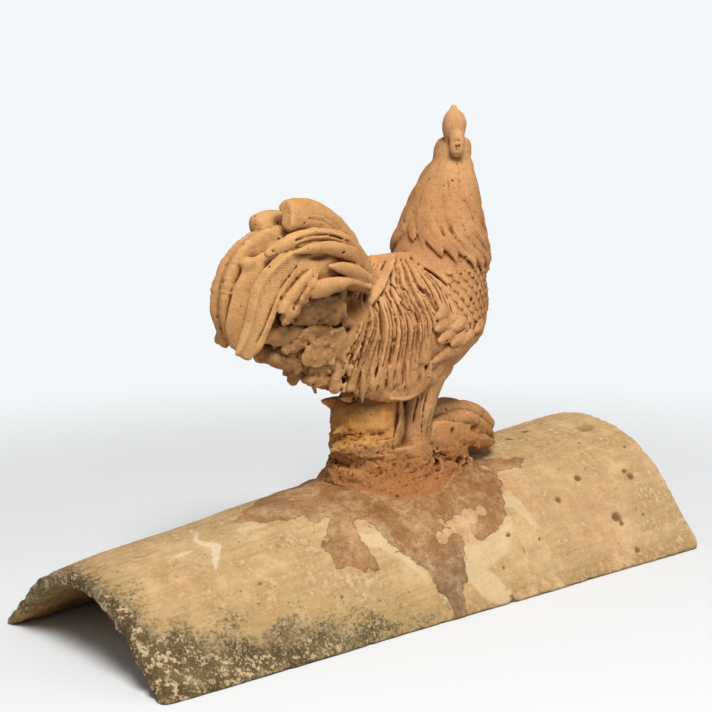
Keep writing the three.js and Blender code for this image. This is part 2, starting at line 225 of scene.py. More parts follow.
# Red clay slip that ran and was rubbed out from the luted base: (x, s) bands.
SMEARS = [
    ([(20, 0), (-60, -2), (-100, -4), (-124, -4)], [60, 32, 18, 3]),
    ([(30, -30), (-30, -34), (-72, -26)], [44, 22, 12]),
    ([(58, -30), (66, -48), (52, -72), (40, -86)], [30, 22, 18, 8]),
    ([(-20, -40), (-20, -68), (-2, -92), (-8, -118), (-13, -146)], [30, 22, 22, 11, 7]),
    ([(-62, -38), (-72, -58), (-70, -74), (-62, -86)], [8, 13, 12, 4]),
    ([(-86, -62), (-88, -76)], [4, 3]),
    ([(95, -34), (122, -40)], [9, 5]),
    ([(30, 20), (60, 60), (40, 90)], [50, 26, 8]),
    ([(-20, 20), (-48, 52), (-54, 74)], [36, 18, 6]),
]
BASE_CENTRE, BASE_HALF = 22.0, (62.0, 52.0)
BARE_SPOTS = [((3, -83), 5.5), ((10, -80), 4), ((38, -74), 7), ((50, -73), 5)]
# Pale scoured patches beside the slip, where it has flaked off.
FLAKES = [
    ([(-58, -64), (-46, -70), (-34, -84), (-26, -104)], [8, 9, 9, 5]),
    ([(14, -98), (30, -104), (52, -100), (66, -92)], [8, 12, 12, 7]),
    ([(12, -108), (24, -128), (34, -140)], [9, 14, 10]),
    ([(-118, -17), (-132, -18)], [9, 6]),
    ([(66, -66), (84, -74), (92, -98)], [8, 8, 5]),
]
# Black-brown lichen: along the small end, and below this line (x, s) on the near flank.
LICHEN_END = -236.0
LICHEN_TOP = [(-262, 6), (-244, -14), (-238, -62), (-213, -74), (-200, -82), (-173, -94), (-150, -97),
              (-120, -104), (-93, -112), (-60, -124), (-20, -138), (20, -158), (60, -190)]
LIME_RUN = [(-152, 10), (-158, 4), (-156, -2), (-164, -10), (-163, -18), (-158, -26), (-164, -34),
            (-172, -46)]
PITS = [(152, -1, 2.6), (176, 3, 2.8), (201, 8, 1.7), (127, -84, 2.3), (160, -72, 2.7),
        (176, -112, 3.6), (214, -86, 2.8), (180, -142, 2.2), (63, -97, 1.8), (90, -108, 1.2),
        (232, -60, 1.4), (-150, -67, 1.3), (44, -118, 1.3), (70, -112, 1.2), (211, -80, 1.8),
        (-98, -96, 1.3), (120, 60, 1.8), (-60, 84, 1.8), (190, 96, 2.2), (30, 120, 1.6), (178, -118, 1.9),
        (-150, 70, 1.8), (150, -60, 1.1), (196, -40, 1.2), (110, -66, 1.0), (205, -118, 1.2)]
DENT = (222, -24, 12, 7)         # shallow oval hollow near the large end's crown

ring = np.linspace(-1, 1, ROUND_STEPS)
stations = np.linspace(-TILE_LENGTH / 2 + EDGE_ROUND, TILE_LENGTH / 2 - EDGE_ROUND, LENGTH_STEPS)
quarter = np.linspace(0, math.pi / 2, 5)
roll_in = EDGE_ROUND * (1 - np.cos(quarter[1:]))
roll_out = EDGE_ROUND * np.sin(quarter[1:])
face_share = np.array([0.35, 0.7, 1.0])
# Each row round the tile: x before wear, how far in from both faces, share of the end face.
end_rows = [(out, inn, 0.0) for out, inn in zip(roll_out, roll_in)]
end_rows += [(EDGE_ROUND, EDGE_ROUND, share) for share in face_share]
rows = [(-TILE_LENGTH / 2 + EDGE_ROUND - o, i, f) for o, i, f in reversed(end_rows)]
rows += [(x, 0.0, 0.0) for x in stations]
rows += [(TILE_LENGTH / 2 - EDGE_ROUND + o, i, f) for o, i, f in end_rows]
row_x, row_in, row_face = (np.array(column) for column in zip(*rows))


def tile_faces(share, x, inset, face, inner):
    """One face of the wall, outer or inner: positions in mm and the flat coordinates."""
    half = tile_half_arc(x)
    s = share * half
    wall = WALL_CROWN + (WALL_FOOT - WALL_CROWN) * np.abs(share) ** 3
    wall = wall * (1 - 0.22 * near(x, -250, 30)) + 0.5 * drift(x, s, 60, 40, 3)
    inset = inset + (wall / 2 - inset) * face
    depth = np.where(inner, wall - inset, inset)
    # Worn ends: the rim wanders, and pieces have chipped off it.
    end_wear = 1.2 * drift(x * 0, s, 19, 19, 5) + 0.7 * drift(x * 0, s, 5, 5, 6)
    small_end = np.clip((x + 200) / -50, 0, 1) ** 3
    large_end = np.clip((x - 215) / 35, 0, 1) ** 3
    chips = (2.2 * near(s, -62, 6) + 1.8 * near(s, 14, 12) + 1.6 * near(s, -94, 5) + 2.2 * near(s, 84, 8)
             + 3 * np.clip((np.abs(s) - half + 5) / 5, 0, 1) ** 2)
    far_chips = (2.0 * near(s, -70, 7) + 1.2 * near(s, -22, 8) + 2.4 * near(s, 60, 9) + 1.4 * near(s, 24, 5)
                 + 5 * np.clip((np.abs(s) - half + 9) / 9, 0, 1) ** 2)
    x = x + small_end * (1.4 + end_wear + chips) - large_end * (0.9 + 0.5 * end_wear + far_chips)
    # Outer face: slow waves, smoothing marks along the ridge, and pressed-in spots.
    lift = 0.9 * drift(x, s, 70, 34, 7) + 0.22 * drift(x, s, 130, 5, 8)
    lift = lift + 0.28 * drift(x, s, 34, 2.6, 9) + 0.2 * drift(x, s, 4, 4, 10)
    for px, ps, size in PITS:
        gap = np.hypot((x - px) / 1.3, s - ps)
        lift = lift - size * 0.7 * np.clip(1.2 - gap / size, 0, 1)
    px, ps, rx, rs = DENT
    lift = lift - 1.6 * np.clip(1.5 - 1.5 * np.hypot((x - px) / rx, (s - ps) / rs), 0, 1)
    slip = np.max([stroke(x, s, line, widths) for line, widths in SMEARS], axis=0)
    slip = slip + 3.4 * drift(x, s, 9, 9, 12) + 2.0 * drift(x, s, 3.4, 3.4, 13)
    for (bx, bs), size in BARE_SPOTS:
        slip = np.minimum(slip, np.hypot(x - bx, s - bs) - size)
    lift = lift + 0.7 * np.clip(slip / 1.5, 0, 1)
    # The luting clay swells up to the foot of the figure all round.
    from_foot = np.hypot((x - BASE_CENTRE) / BASE_HALF[0], s / BASE_HALF[1])
    lift = lift + 2.3 * np.exp(-((from_foot - 1.03) * BASE_HALF[1] / 6.5) ** 2) * (from_foot > 0.9)
    worn = np.clip(small_end * 1.4, 0, 1)
    lift = lift - worn * (0.9 + 1.1 * drift(x, s, 6, 6, 14))
    rough_under = 0.8 * drift(x, s, 30, 18, 15) + 0.4 * drift(x, s, 5, 5, 16)
    depth = depth + np.where(inner, rough_under, -lift) * (1 - face)
    y, z, tilt = tile_point(x, s, depth)
    # The ground foot: rounded corners, small breaks along the edge.
    rise = (3.4 * near(x, 38, 6) + 2.2 * near(x, -93, 5) + 1.6 * near(x, -160, 9)
            + 1.4 * near(x, 118, 8) + 1.1 * near(x, -30, 6) + 0.5 + 0.5 * drift(x, s * 0, 7, 7, 17))
    rise = np.where(s < 0, rise, 0.6 + 0.6 * drift(x, s * 0, 9, 9, 18))
    low_part = np.clip(1 - z / 12, 0, 1)
    z = np.maximum(z, 0) + rise * low_part ** 2
    y = y - np.sign(s) * low_part ** 4 * np.where(inner, -1.0, 1.0) * (1 - face)
    return x, y, z, s, slip


outer = [tile_faces(ring[None, :], row_x[:, None], row_in[:, None], row_face[:, None], False)]
inner = [tile_faces(ring[None, ::-1], row_x[:, None], row_in[:, None], row_face[:, None], True)]
foot_shares = np.array([0.25, 0.5, 0.75])


def across_foot(a, b):
    """The narrow ground face between an outer foot and an inner one."""
    mix = foot_shares[None, :]
    spans = [a[k][:, -1:] * (1 - mix) + b[k][:, :1] * mix for k in range(5)]
    level = np.minimum(spans[2], 0.25 + 0.3 * np.abs(drift(spans[0], spans[1], 5, 3, 19)))
    spans[2] = np.where(row_face[:, None] < 1, level + (spans[2] - level) * 0.3, spans[2])
    return spans


def full_grid(piece):
    return [np.broadcast_to(part, (len(row_x), ROUND_STEPS)) for part in piece]


outer, inner = full_grid(outer[0]), full_grid(inner[0])
foot_a, foot_b = across_foot(outer, inner), across_foot(inner, outer)
grid = [np.concatenate(parts, axis=1) for parts in zip(outer, foot_a, inner, foot_b)]
tile_rows, tile_columns = grid[0].shape
points = np.stack(grid[:3], axis=-1).reshape(-1, 3) * MM
index = np.arange(tile_rows * tile_columns).reshape(tile_rows, tile_columns)
nxt = np.roll(index, -1, axis=1)
quads = np.stack([index[:-1], index[1:], nxt[1:], nxt[:-1]], axis=-1).reshape(-1, 4)


def mesh_from(name, points, quads, triangles=()):
    """A smooth mesh from arrays of points, four-sided faces and three-sided faces."""
    mesh = bpy.data.meshes.new(name)
    corners = np.concatenate([np.ravel(quads), np.ravel(triangles)]).astype(np.int32)
    sides = np.concatenate([np.full(len(quads), 4), np.full(len(triangles), 3)])
    mesh.vertices.add(len(points))
    mesh.vertices.foreach_set("co", np.ravel(points).astype(np.float32))
    mesh.loops.add(len(corners))
    mesh.loops.foreach_set("vertex_index", corners)
    mesh.polygons.add(len(sides))
    mesh.polygons.foreach_set("loop_start", np.concatenate([[0], np.cumsum(sides)[:-1]]).astype(np.int32))
    mesh.update(calc_edges=True)
    mesh.validate()
    mesh.shade_smooth()
    return mesh


def paint(mesh, name, values):
    """A value at each vertex, for the material to read."""
    layer = mesh.attributes.new(name, "FLOAT", "POINT")
    layer.data.foreach_set("value", np.ravel(values).astype(np.float32))


tile_mesh = mesh_from("old_ridge_tile", points, quads)
x, y, z, s, slip = grid
outer_face = np.zeros_like(x)
outer_face[:, :ROUND_STEPS] = 1.0
outer_face[:9] = 0.3
outer_face[-7:] = np.minimum(outer_face[-7:], 0.6)
paint(tile_mesh, "outside", outer_face)
paint(tile_mesh, "slip", np.clip(0.5 + slip / 8, 0, 1) * outer_face)
flake = np.max([stroke(x, s, line, widths) for line, widths in FLAKES], axis=0)
paint(tile_mesh, "flaked", np.clip(0.5 + flake / 16, 0, 1) * outer_face)
low_band = np.where(s < 0, np.interp(x, *zip(*LICHEN_TOP)) - s, s - 96 - 0.12 * (x + 240))
lichen = np.minimum(np.maximum((LICHEN_END - x) * (s < 92), low_band), 21)
from_edge = tile_half_arc(x) - np.abs(s)
lichen = lichen - 12 * np.clip(1 - from_edge / 8, 0, 1) + 6 * drift(x, s, 12, 9, 21) + 5 * drift(x, s, 4, 4, 22)
paint(tile_mesh, "lichen", np.clip(0.5 + lichen / 40, 0, 1))
from_base = np.hypot((x - BASE_CENTRE) / (BASE_HALF[0] + 8), s / (BASE_HALF[1] + 10))
paint(tile_mesh, "near_base", np.clip(2.1 - 1.1 * from_base, 0, 1))
lime = np.maximum(stroke(x, s, LIME_RUN, [2.0, 1.4, 1.6, 2.2, 3.6, 4.2, 3.2, 1.0]),
                  stroke(x, s, [(-198, -15), (-196, -23), (-183, -22), (-174, -22)], [1.2, 2, 4, 3]) - 1.5)
paint(tile_mesh, "lime", np.clip(0.5 + lime / 6, 0, 1) * outer_face)
pits = np.zeros_like(x)
for px, ps, size in PITS:
    pits = np.maximum(pits, np.clip(1.5 - np.hypot((x - px) / 1.3, s - ps) / size, 0, 1))
px, ps, rx, rs = DENT
pits = np.maximum(pits, 0.5 * np.clip(2.4 - 2.2 * np.hypot((x - px) / rx, (s - ps) / rs), 0, 1))
pits = np.maximum(pits, near(x, 38, 6) * (z < 6) * (s < 0))
paint(tile_mesh, "pitted", pits * outer_face)
paint(tile_mesh, "flat_x", x)
paint(tile_mesh, "flat_s", s)
# The outer and the inner face meet along the middle of each end.
seams = bmesh.new()
seams.from_mesh(tile_mesh)
bmesh.ops.remove_doubles(seams, verts=seams.verts, dist=0.00002)
bmesh.ops.dissolve_degenerate(seams, edges=seams.edges, dist=0.000002)
seams.to_mesh(tile_mesh)
seams.free()
tile = bpy.data.objects.new("old_ridge_tile", tile_mesh)
bpy.context.scene.collection.objects.link(tile)


def group_tree(name, inputs, outputs):
    """A new shader group with named inputs and outputs."""
    made = bpy.data.node_groups.new(name, "ShaderNodeTree")
    for label, kind, value in inputs:
        socket = made.interface.new_socket(name=label, in_out="INPUT", socket_type=kind)
        socket.default_value = value
    for label, kind in outputs:
        made.interface.new_socket(name=label, in_out="OUTPUT", socket_type=kind)
    return made, made.nodes.new("NodeGroupInput"), made.nodes.new("NodeGroupOutput")


def ramp(tree, value, low, high, to_low=0.0, to_high=1.0):
    """Stretches value from low..high to the new range, held at its ends."""
    return node(tree, "ShaderNodeMapRange", Value=value, From_Min=low, From_Max=high,
                To_Min=to_low, To_Max=to_high).outputs["Result"]


def noise(tree, where, scale, detail=4.0, rough=0.6):
    return node(tree, "ShaderNodeTexNoise", Vector=where, Scale=scale, Detail=detail,
                Roughness=rough).outputs["Fac"]


def blend(tree, share, under, over, kind="MIX"):
    """Colour over laid on colour under by the share."""
    made = tree.nodes.new("ShaderNodeMix")
    made.data_type = "RGBA"
    made.blend_type = kind
    for socket, value in ((made.inputs["Factor"], share), (made.inputs[6], under), (made.inputs[7], over)):
        if isinstance(value, bpy.types.NodeSocket):
            tree.links.new(value, socket)
        else:
            socket.default_value = value
    return made.outputs[2]


def maths(tree, kind, *values):
    made = tree.nodes.new("ShaderNodeMath")
    made.operation = kind
    for socket, value in zip(made.inputs, values):
        if isinstance(value, bpy.types.NodeSocket):
            tree.links.new(value, socket)
        else:
            socket.default_value = value
    return made.outputs[0]


def painted(tree, name):
    return node(tree, "ShaderNodeAttribute", {"attribute_name": name}).outputs["Fac"]


# Fired clay: blotches from the kiln, pale grit, dark pinholes and a sandy grain.
fired_clay, takes, gives = group_tree(
    "fired_clay_grain",
    [("Place", "NodeSocketVector", (0, 0, 0)), ("Colour", "NodeSocketColor", (0.6, 0.4, 0.2, 1)),
     ("Pale", "NodeSocketColor", (0.7, 0.5, 0.3, 1)), ("Deep", "NodeSocketColor", (0.4, 0.2, 0.1, 1)),
     ("Grit", "NodeSocketFloat", 0.5), ("Pinholes", "NodeSocketFloat", 0.5)],
    [("Colour", "NodeSocketColor"), ("Height", "NodeSocketFloat"), ("Roughness", "NodeSocketFloat")])
where = takes.outputs["Place"]
kiln = ramp(fired_clay, noise(fired_clay, where, 16.0, 5.0, 0.62), 0.40, 0.66)
deep = ramp(fired_clay, noise(fired_clay, where, 38.0, 5.0, 0.66), 0.50, 0.72)
colour = blend(fired_clay, maths(fired_clay, "MULTIPLY", kiln, 0.75), takes.outputs["Colour"],
               takes.outputs["Pale"])
colour = blend(fired_clay, maths(fired_clay, "MULTIPLY", deep, 0.5), colour, takes.outputs["Deep"])
speck = node(fired_clay, "ShaderNodeTexVoronoi", {"feature": "F1"}, Vector=where, Scale=620.0)
speck_pick = ramp(fired_clay, node(fired_clay, "ShaderNodeSeparateColor",
                                   Color=speck.outputs["Color"]).outputs[0], 0.72, 0.9)
speck_dot = ramp(fired_clay, speck.outputs["Distance"], 0.42, 0.16)
grit = maths(fired_clay, "MULTIPLY", maths(fired_clay, "MULTIPLY", speck_pick, speck_dot),
             takes.outputs["Grit"])
colour = blend(fired_clay, grit, colour, takes.outputs["Pale"])
hole = node(fired_clay, "ShaderNodeTexVoronoi", {"feature": "F1"}, Vector=where, Scale=210.0)
hole_pick = ramp(fired_clay, node(fired_clay, "ShaderNodeSeparateColor",
                                  Color=hole.outputs["Color"]).outputs[1], 0.86, 0.9)
hole_dot = maths(fired_clay, "MULTIPLY", hole_pick, ramp(fired_clay, hole.outputs["Distance"], 0.2, 0.1))
hole_dot = maths(fired_clay, "MULTIPLY", hole_dot, takes.outputs["Pinholes"])
colour = blend(fired_clay, hole_dot, colour, (0.10, 0.045, 0.02, 1))
sand = noise(fired_clay, where, 900.0, 3.0, 0.6)
lumps = noise(fired_clay, where, 190.0, 4.0, 0.6)
height = maths(fired_clay, "ADD", maths(fired_clay, "MULTIPLY", sand, 0.35), lumps)
height = maths(fired_clay, "SUBTRACT", height, maths(fired_clay, "MULTIPLY", hole_dot, 1.2))
shade = ramp(fired_clay, sand, 0.3, 0.7, 0.86, 1.12)
shades = node(fired_clay, "ShaderNodeCombineColor", Red=shade, Green=shade, Blue=shade).outputs[0]
colour = blend(fired_clay, 1.0, colour, shades, "MULTIPLY")
fired_clay.links.new(colour, gives.inputs["Colour"])
fired_clay.links.new(height, gives.inputs["Height"])
fired_clay.links.new(ramp(fired_clay, lumps, 0.3, 0.7, 0.82, 0.95), gives.inputs["Roughness"])


def clay(tree, where, colour, pale, deep, grit=0.5, pinholes=0.5):
    """The fired clay group, placed in a material with its own values."""
    made = tree.nodes.new("ShaderNodeGroup")
    made.node_tree = fired_clay
    values = {"Place": where, "Colour": colour, "Pale": pale, "Deep": deep, "Grit": grit,
              "Pinholes": pinholes}
    for label, value in values.items():
        if isinstance(value, bpy.types.NodeSocket):
            tree.links.new(value, made.inputs[label])
        else:
            made.inputs[label].default_value = value
    return made.outputs


TAN = (0.50, 0.318, 0.145, 1)
TAN_PALE = (0.60, 0.42, 0.225, 1)
TAN_DEEP = (0.375, 0.20, 0.08, 1)
SLIP_RED = (0.265, 0.122, 0.049, 1)
SLIP_DARK = (0.172, 0.090, 0.041, 1)
LICHEN_BLACK = (0.098, 0.064, 0.027, 1)
CREAM = (0.655, 0.485, 0.275, 1)
LIME_WHITE = (0.68, 0.55, 0.39, 1)
PIT_BROWN = (0.16, 0.08, 0.03, 1)
UNDER_BROWN = (0.48, 0.265, 0.085, 1)

tile_material, tree = new_material("weathered_tile_clay")
where = node(tree, "ShaderNodeTexCoord").outputs["Object"]
flat = node(tree, "ShaderNodeCombineXYZ", X=painted(tree, "flat_x"), Y=painted(tree, "flat_s")).outputs[0]
body = clay(tree, where, TAN, TAN_PALE, TAN_DEEP, 0.8, 0.6)
colour = body["Colour"]
drawn_out = node(tree, "ShaderNodeVectorMath", {"operation": "MULTIPLY"}, _0=flat,
                 _1=(0.012, 0.17, 0.0)).outputs[0]
streak = noise(tree, drawn_out, 1.0, 8.0, 0.7)
fine = noise(tree, where, 240.0, 6.0, 0.72)
blotch = noise(tree, where, 42.0, 6.0, 0.7)
colour = blend(tree, ramp(tree, streak, 0.51, 0.66, 0, 0.75), colour, TAN_PALE)
colour = blend(tree, ramp(tree, streak, 0.48, 0.34, 0, 0.7), colour, (0.40, 0.225, 0.09, 1))
colour = blend(tree, ramp(tree, fine, 0.46, 0.34, 0, 0.75), colour, (0.31, 0.168, 0.066, 1))
colour = blend(tree, ramp(tree, fine, 0.55, 0.66, 0, 0.6), colour, (0.68, 0.49, 0.275, 1))
pink = ramp(tree, noise(tree, where, 9.0, 4.0, 0.6), 0.50, 0.66, 0, 0.55)
colour = blend(tree, pink, colour, (0.60, 0.345, 0.18, 1))
brown = maths(tree, "ADD", maths(tree, "MULTIPLY", blotch, 0.7), maths(tree, "MULTIPLY", fine, 0.5))
colour = blend(tree, ramp(tree, brown, 0.57, 0.70, 0, 0.7), colour, (0.345, 0.182, 0.075, 1))
colour = blend(tree, ramp(tree, brown, 0.56, 0.46, 0, 0.6), colour, (0.64, 0.455, 0.25, 1))
foot_height = node(tree, "ShaderNodeSeparateXYZ", Vector=where).outputs["Z"]
colour = blend(tree, maths(tree, "MULTIPLY", ramp(tree, foot_height, 0.018, 0.002, 0, 0.8),
                           ramp(tree, brown, 0.50, 0.66)), colour, (0.26, 0.15, 0.055, 1))
# Cream limewash left in patches, worn to specks.
wash = maths(tree, "ADD", maths(tree, "MULTIPLY", blotch, 0.9), maths(tree, "MULTIPLY", fine, 0.9))
colour = blend(tree, ramp(tree, wash, 0.96, 1.10, 0, 0.8), colour, CREAM)
flaked = ramp(tree, maths(tree, "ADD", painted(tree, "flaked"), maths(tree, "MULTIPLY", wash, 0.45)),
              0.98, 1.14, 0, 0.62)
colour = blend(tree, flaked, colour, CREAM)
# Brown stain low on the near side and round the slip.
stain = ramp(tree, maths(tree, "ADD", painted(tree, "lichen"), maths(tree, "MULTIPLY", blotch, 0.8)),
             0.35, 0.95, 0, 0.55)
colour = blend(tree, stain, colour, (0.36, 0.25, 0.105, 1))
slip_edge = maths(tree, "ADD", painted(tree, "slip"), maths(tree, "MULTIPLY", fine, 0.95))
slip_cover = ramp(tree, slip_edge, 0.93, 1.03)
slip_thin = ramp(tree, maths(tree, "ADD", maths(tree, "MULTIPLY", blotch, 0.6), maths(tree, "MULTIPLY", fine, 0.5)),
                 0.44, 0.62, 0.32, 1.0)
slip_clay = clay(tree, where, SLIP_RED, (0.37, 0.19, 0.086, 1), SLIP_DARK, 0.9, 0.3)["Colour"]
downhill = ramp(tree, painted(tree, "flat_s"), -84.0, -118.0, 0, 0.75)
slip_clay = blend(tree, downhill, slip_clay, (0.150, 0.098, 0.050, 1))
by_stump = clay(tree, where, (0.235, 0.098, 0.032, 1), (0.34, 0.16, 0.06, 1), (0.13, 0.052, 0.02, 1), 1.0, 0.8)
slip_clay = blend(tree, ramp(tree, painted(tree, "near_base"), 0.3, 0.95), slip_clay, by_stump["Colour"])
colour = blend(tree, maths(tree, "MULTIPLY", slip_cover, slip_thin), colour, slip_clay)
lime_cover = ramp(tree, maths(tree, "ADD", painted(tree, "lime"), maths(tree, "MULTIPLY", fine, 0.8)),
                  0.92, 1.10, 0, 0.7)
colour = blend(tree, lime_cover, colour, LIME_WHITE)
# Lichen: a brown-black crust broken by bare clay and cream rosettes.
coarse = noise(tree, where, 70.0, 8.0, 0.75)
speckle = noise(tree, where, 380.0, 5.0, 0.8)
mottle = maths(tree, "ADD", maths(tree, "MULTIPLY", coarse, 1.4), maths(tree, "MULTIPLY", speckle, 2.0))
spread = maths(tree, "ADD", painted(tree, "lichen"), maths(tree, "SUBTRACT", mottle, 1.86))
colour = blend(tree, ramp(tree, spread, 0.25, 0.62, 0, 0.62), colour, (0.33, 0.245, 0.115, 1))
crust = ramp(tree, spread, 0.45, 0.72, 0, 0.94)
thinner = ramp(tree, noise(tree, where, 34.0, 6.0, 0.7), 0.38, 0.56, 0.55, 1.0)
crust = maths(tree, "MULTIPLY", crust, thinner)
colour = blend(tree, crust, colour, LICHEN_BLACK)
grains = maths(tree, "ADD", noise(tree, where, 480.0, 4.0, 0.7), noise(tree, where, 140.0, 4.0, 0.65))
rosettes = maths(tree, "MULTIPLY", ramp(tree, grains, 1.02, 1.11), ramp(tree, spread, 0.25, 0.6, 0, 0.9))
colour = blend(tree, rosettes, colour, CREAM)
colour = blend(tree, ramp(tree, painted(tree, "pitted"), 0.15, 0.75, 0, 0.9), colour, PIT_BROWN)
inside_clay = clay(tree, where, UNDER_BROWN, (0.33, 0.21, 0.09, 1), (0.09, 0.05, 0.02, 1), 0.5, 0.8)
colour = blend(tree, ramp(tree, painted(tree, "outside"), 0.25, 0.0), colour, inside_clay["Colour"])
height = maths(tree, "ADD", body["Height"], maths(tree, "MULTIPLY", streak, 1.3))
height = maths(tree, "ADD", height, maths(tree, "MULTIPLY", fine, 0.9))
height = maths(tree, "ADD", height, maths(tree, "MULTIPLY", slip_cover, 0.6))
height = maths(tree, "ADD", height, maths(tree, "MULTIPLY", crust, 0.5))
height = maths(tree, "ADD", height, maths(tree, "MULTIPLY", speckle, ramp(tree, spread, 0.3, 0.8, 0, 1.6)))
bump = node(tree, "ShaderNodeBump", Strength=0.8, Distance=0.0015, Height=height)
shader = node(tree, "ShaderNodeBsdfPrincipled", Base_Color=colour, Roughness=body["Roughness"],
              Normal=bump.outputs[0])
shader.inputs["Specular IOR Level"].default_value = 0.2
tree.links.new(shader.outputs[0], tree.nodes["Material Output"].inputs["Surface"])
tile_mesh.materials.append(tile_material)

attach(tile, "root")
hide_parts("ridge_tile")

# ---------------------------------------------------------------------------
# The rooster's body: red-brown clay modelled by hand round a solid core, trunk
# and neck first, all fired in one piece with its rock. It is built up here as
# one block of clay, as the distance in mm from each grid point to the surface.
# ---------------------------------------------------------------------------
VOXEL = 0.9
BLOCK_LOW = np.array([-140.0, -66.0, 52.0])
BLOCK_HIGH = np.array([134.0, 66.0, 355.0])
RIGHT, LEFT = -1, 1
block_size = np.ceil((BLOCK_HIGH - BLOCK_LOW) / VOXEL).astype(int) + 1
figure = np.full(block_size, 9.0, np.float32)
line_phase = np.zeros(block_size, np.float32)
line_depth = np.zeros(block_size, np.float32)


def window(low, high):
    """The part of the block between two corners, with the places of its grid points."""
    start = np.clip(np.floor((np.asarray(low) - BLOCK_LOW) / VOXEL).astype(int), 0, block_size)
    stop = np.clip(np.ceil((np.asarray(high) - BLOCK_LOW) / VOXEL).astype(int) + 1, 0, block_size)
    lines = [(BLOCK_LOW[k] + VOXEL * np.arange(start[k], stop[k])).astype(np.float32)
             for k in range(3)]
    cut = tuple(slice(a, b) for a, b in zip(start, stop))
    return (cut, *np.meshgrid(*lines, indexing="ij", sparse=True))


def add_clay(cut, gap, soft=0.8, phase=0.0, depth=0.0):
    """Joins clay to the figure, the seam filled to that softness in mm."""
    old = figure[cut]
    share = np.clip(0.5 + 0.5 * (old - gap) / soft, 0, 1)
    newer = gap < old
    figure[cut] = old + (gap - old) * share - soft * share * (1 - share)
    line_phase[cut] = np.where(newer, phase, line_phase[cut])
    line_depth[cut] = np.where(newer, depth, line_depth[cut])


def cut_clay(cut, gap, soft=0.8):
    """Takes clay away inside gap."""
    old = figure[cut]
    share = np.clip(0.5 + 0.5 * (-gap - old) / soft, 0, 1)
    figure[cut] = old + (-gap - old) * share + soft * share * (1 - share)


def smooth_run(values, count):
    """A smooth run of that many values through a short list of them."""
    known = np.asarray(values, float)
    flat = known.reshape(len(known), -1)
    padded = np.concatenate([[2 * flat[0] - flat[1]], flat, [2 * flat[-1] - flat[-2]]])
    at = np.linspace(0, len(known) - 1, count)
    i = np.minimum(at.astype(int), len(known) - 2)
    f = (at - i)[:, None]
    a, b, c, d = padded[i], padded[i + 1], padded[i + 2], padded[i + 3]
    run = 0.5 * (2 * b + (c - a) * f + (2 * a - 5 * b + 4 * c - d) * f ** 2
                 + (3 * b - a - 3 * c + d) * f ** 3)
    return run.reshape(count, *known.shape[1:])


def oval_gap(u, v, e, wide, thick, long):
    """The distance to an oval of those half sizes, near enough to its surface."""
    far = np.sqrt((u / wide) ** 2 + (v / thick) ** 2 + (e / long) ** 2)
    slope = np.sqrt((u / wide ** 2) ** 2 + (v / thick ** 2) ** 2 + (e / long ** 2) ** 2)
    return far * (far - 1) / np.maximum(slope, 1e-4)


def lock(path, wide, thick, face, soft=0.8, rib=0.0, rib_at=0.0, rib_wide=1.3, lean=0.0, cup=0.0, lines=0.0,
         pitch=1.7, slant=0.0, wave=0.0, steps=14, take=False):
    """A feather, toe or lobe along a path, half widths and thicknesses along it in mm.
    face is the way that its flat looks, lean drops the flat from one edge to the other and cup hollows it;
    rib raises a line along it (below 0, a groove) at rib_at of its half width;
    lines, pitch and slant set the fine barbs; wave ribs it across; take cuts it out."""
    spine = smooth_run(path, steps)
    wides = np.maximum(smooth_run(wide, steps), 0.4)
    thicks = np.maximum(smooth_run(thick, steps), 0.4)
    looks = smooth_run(face, steps) if np.ndim(face) == 2 else np.tile(np.asarray(face, float), (steps, 1))
    tangent = np.gradient(spine, axis=0)
    tangent /= np.linalg.norm(tangent, axis=1, keepdims=True)
    across = np.cross(looks, tangent)
    across /= np.linalg.norm(across, axis=1, keepdims=True)
    outward = np.cross(tangent, across)
    reach = max(wides.max(), thicks.max()) + 3.0
    cut, x, y, z = window(spine.min(0) - reach, spine.max(0) + reach)
    shape = np.broadcast_shapes(x.shape, y.shape, z.shape)
    if min(shape) == 0:
        return
    best = np.full(shape, 1e9, np.float32)
    along = np.zeros(shape, np.float32)
    for i in range(steps - 1):
        start, step = spine[i], spine[i + 1] - spine[i]
        size = float(step @ step)
        dx, dy, dz = x - start[0], y - start[1], z - start[2]
        t = np.clip((dx * step[0] + dy * step[1] + dz * step[2]) / size, 0, 1)
        gap = (dx - t * step[0]) ** 2 + (dy - t * step[1]) ** 2 + (dz - t * step[2]) ** 2
        nearer = gap < best
        best = np.where(nearer, gap, best)
        along = np.where(nearer, t + i, along)
    close = best < reach * reach
    at = along[close]
    i = np.minimum(at.astype(int), steps - 2)
    f = (at - i)[:, None]

    def held(run):
        return run[i] * (1 - f) + run[i + 1] * f

    place = np.stack([np.broadcast_to(part, shape)[close] for part in (x, y, z)], -1)
    off = place - held(spine)
    u, v = (off * held(across)).sum(1), (off * held(outward)).sum(1)
    e = (off * held(tangent)).sum(1)
    half_wide, half_thick = held(wides[:, None])[:, 0], held(thicks[:, None])[:, 0]
    v = v - lean * u - cup * (u * u / half_wide - 0.3 * half_wide)
    flat = oval_gap(u, v, e, half_wide, half_thick, np.minimum(half_wide, 4.0))
    top = v > 0
    flat = flat - rib * np.exp(-((u - rib_at * half_wide) / rib_wide) ** 2) * top
    travel = np.concatenate([[0], np.cumsum(np.linalg.norm(np.diff(spine, axis=0), axis=1))])
    run_mm = held(travel[:, None])[:, 0]
    if wave:
        flat = flat - wave * np.cos(2 * np.pi * run_mm / 2.3) * top
    gap = np.full(shape, 9.0, np.float32)
    gap[close] = flat
    if take:
        cut_clay(cut, gap, soft)
        return
    phase = np.zeros(shape, np.float32)
    from_rib = u - rib_at * half_wide
    phase[close] = (run_mm * slant + np.abs(from_rib) if slant else u) / pitch
    depth = np.zeros(shape, np.float32)
    depth[close] = lines
    add_clay(cut, gap, soft, phase, depth)


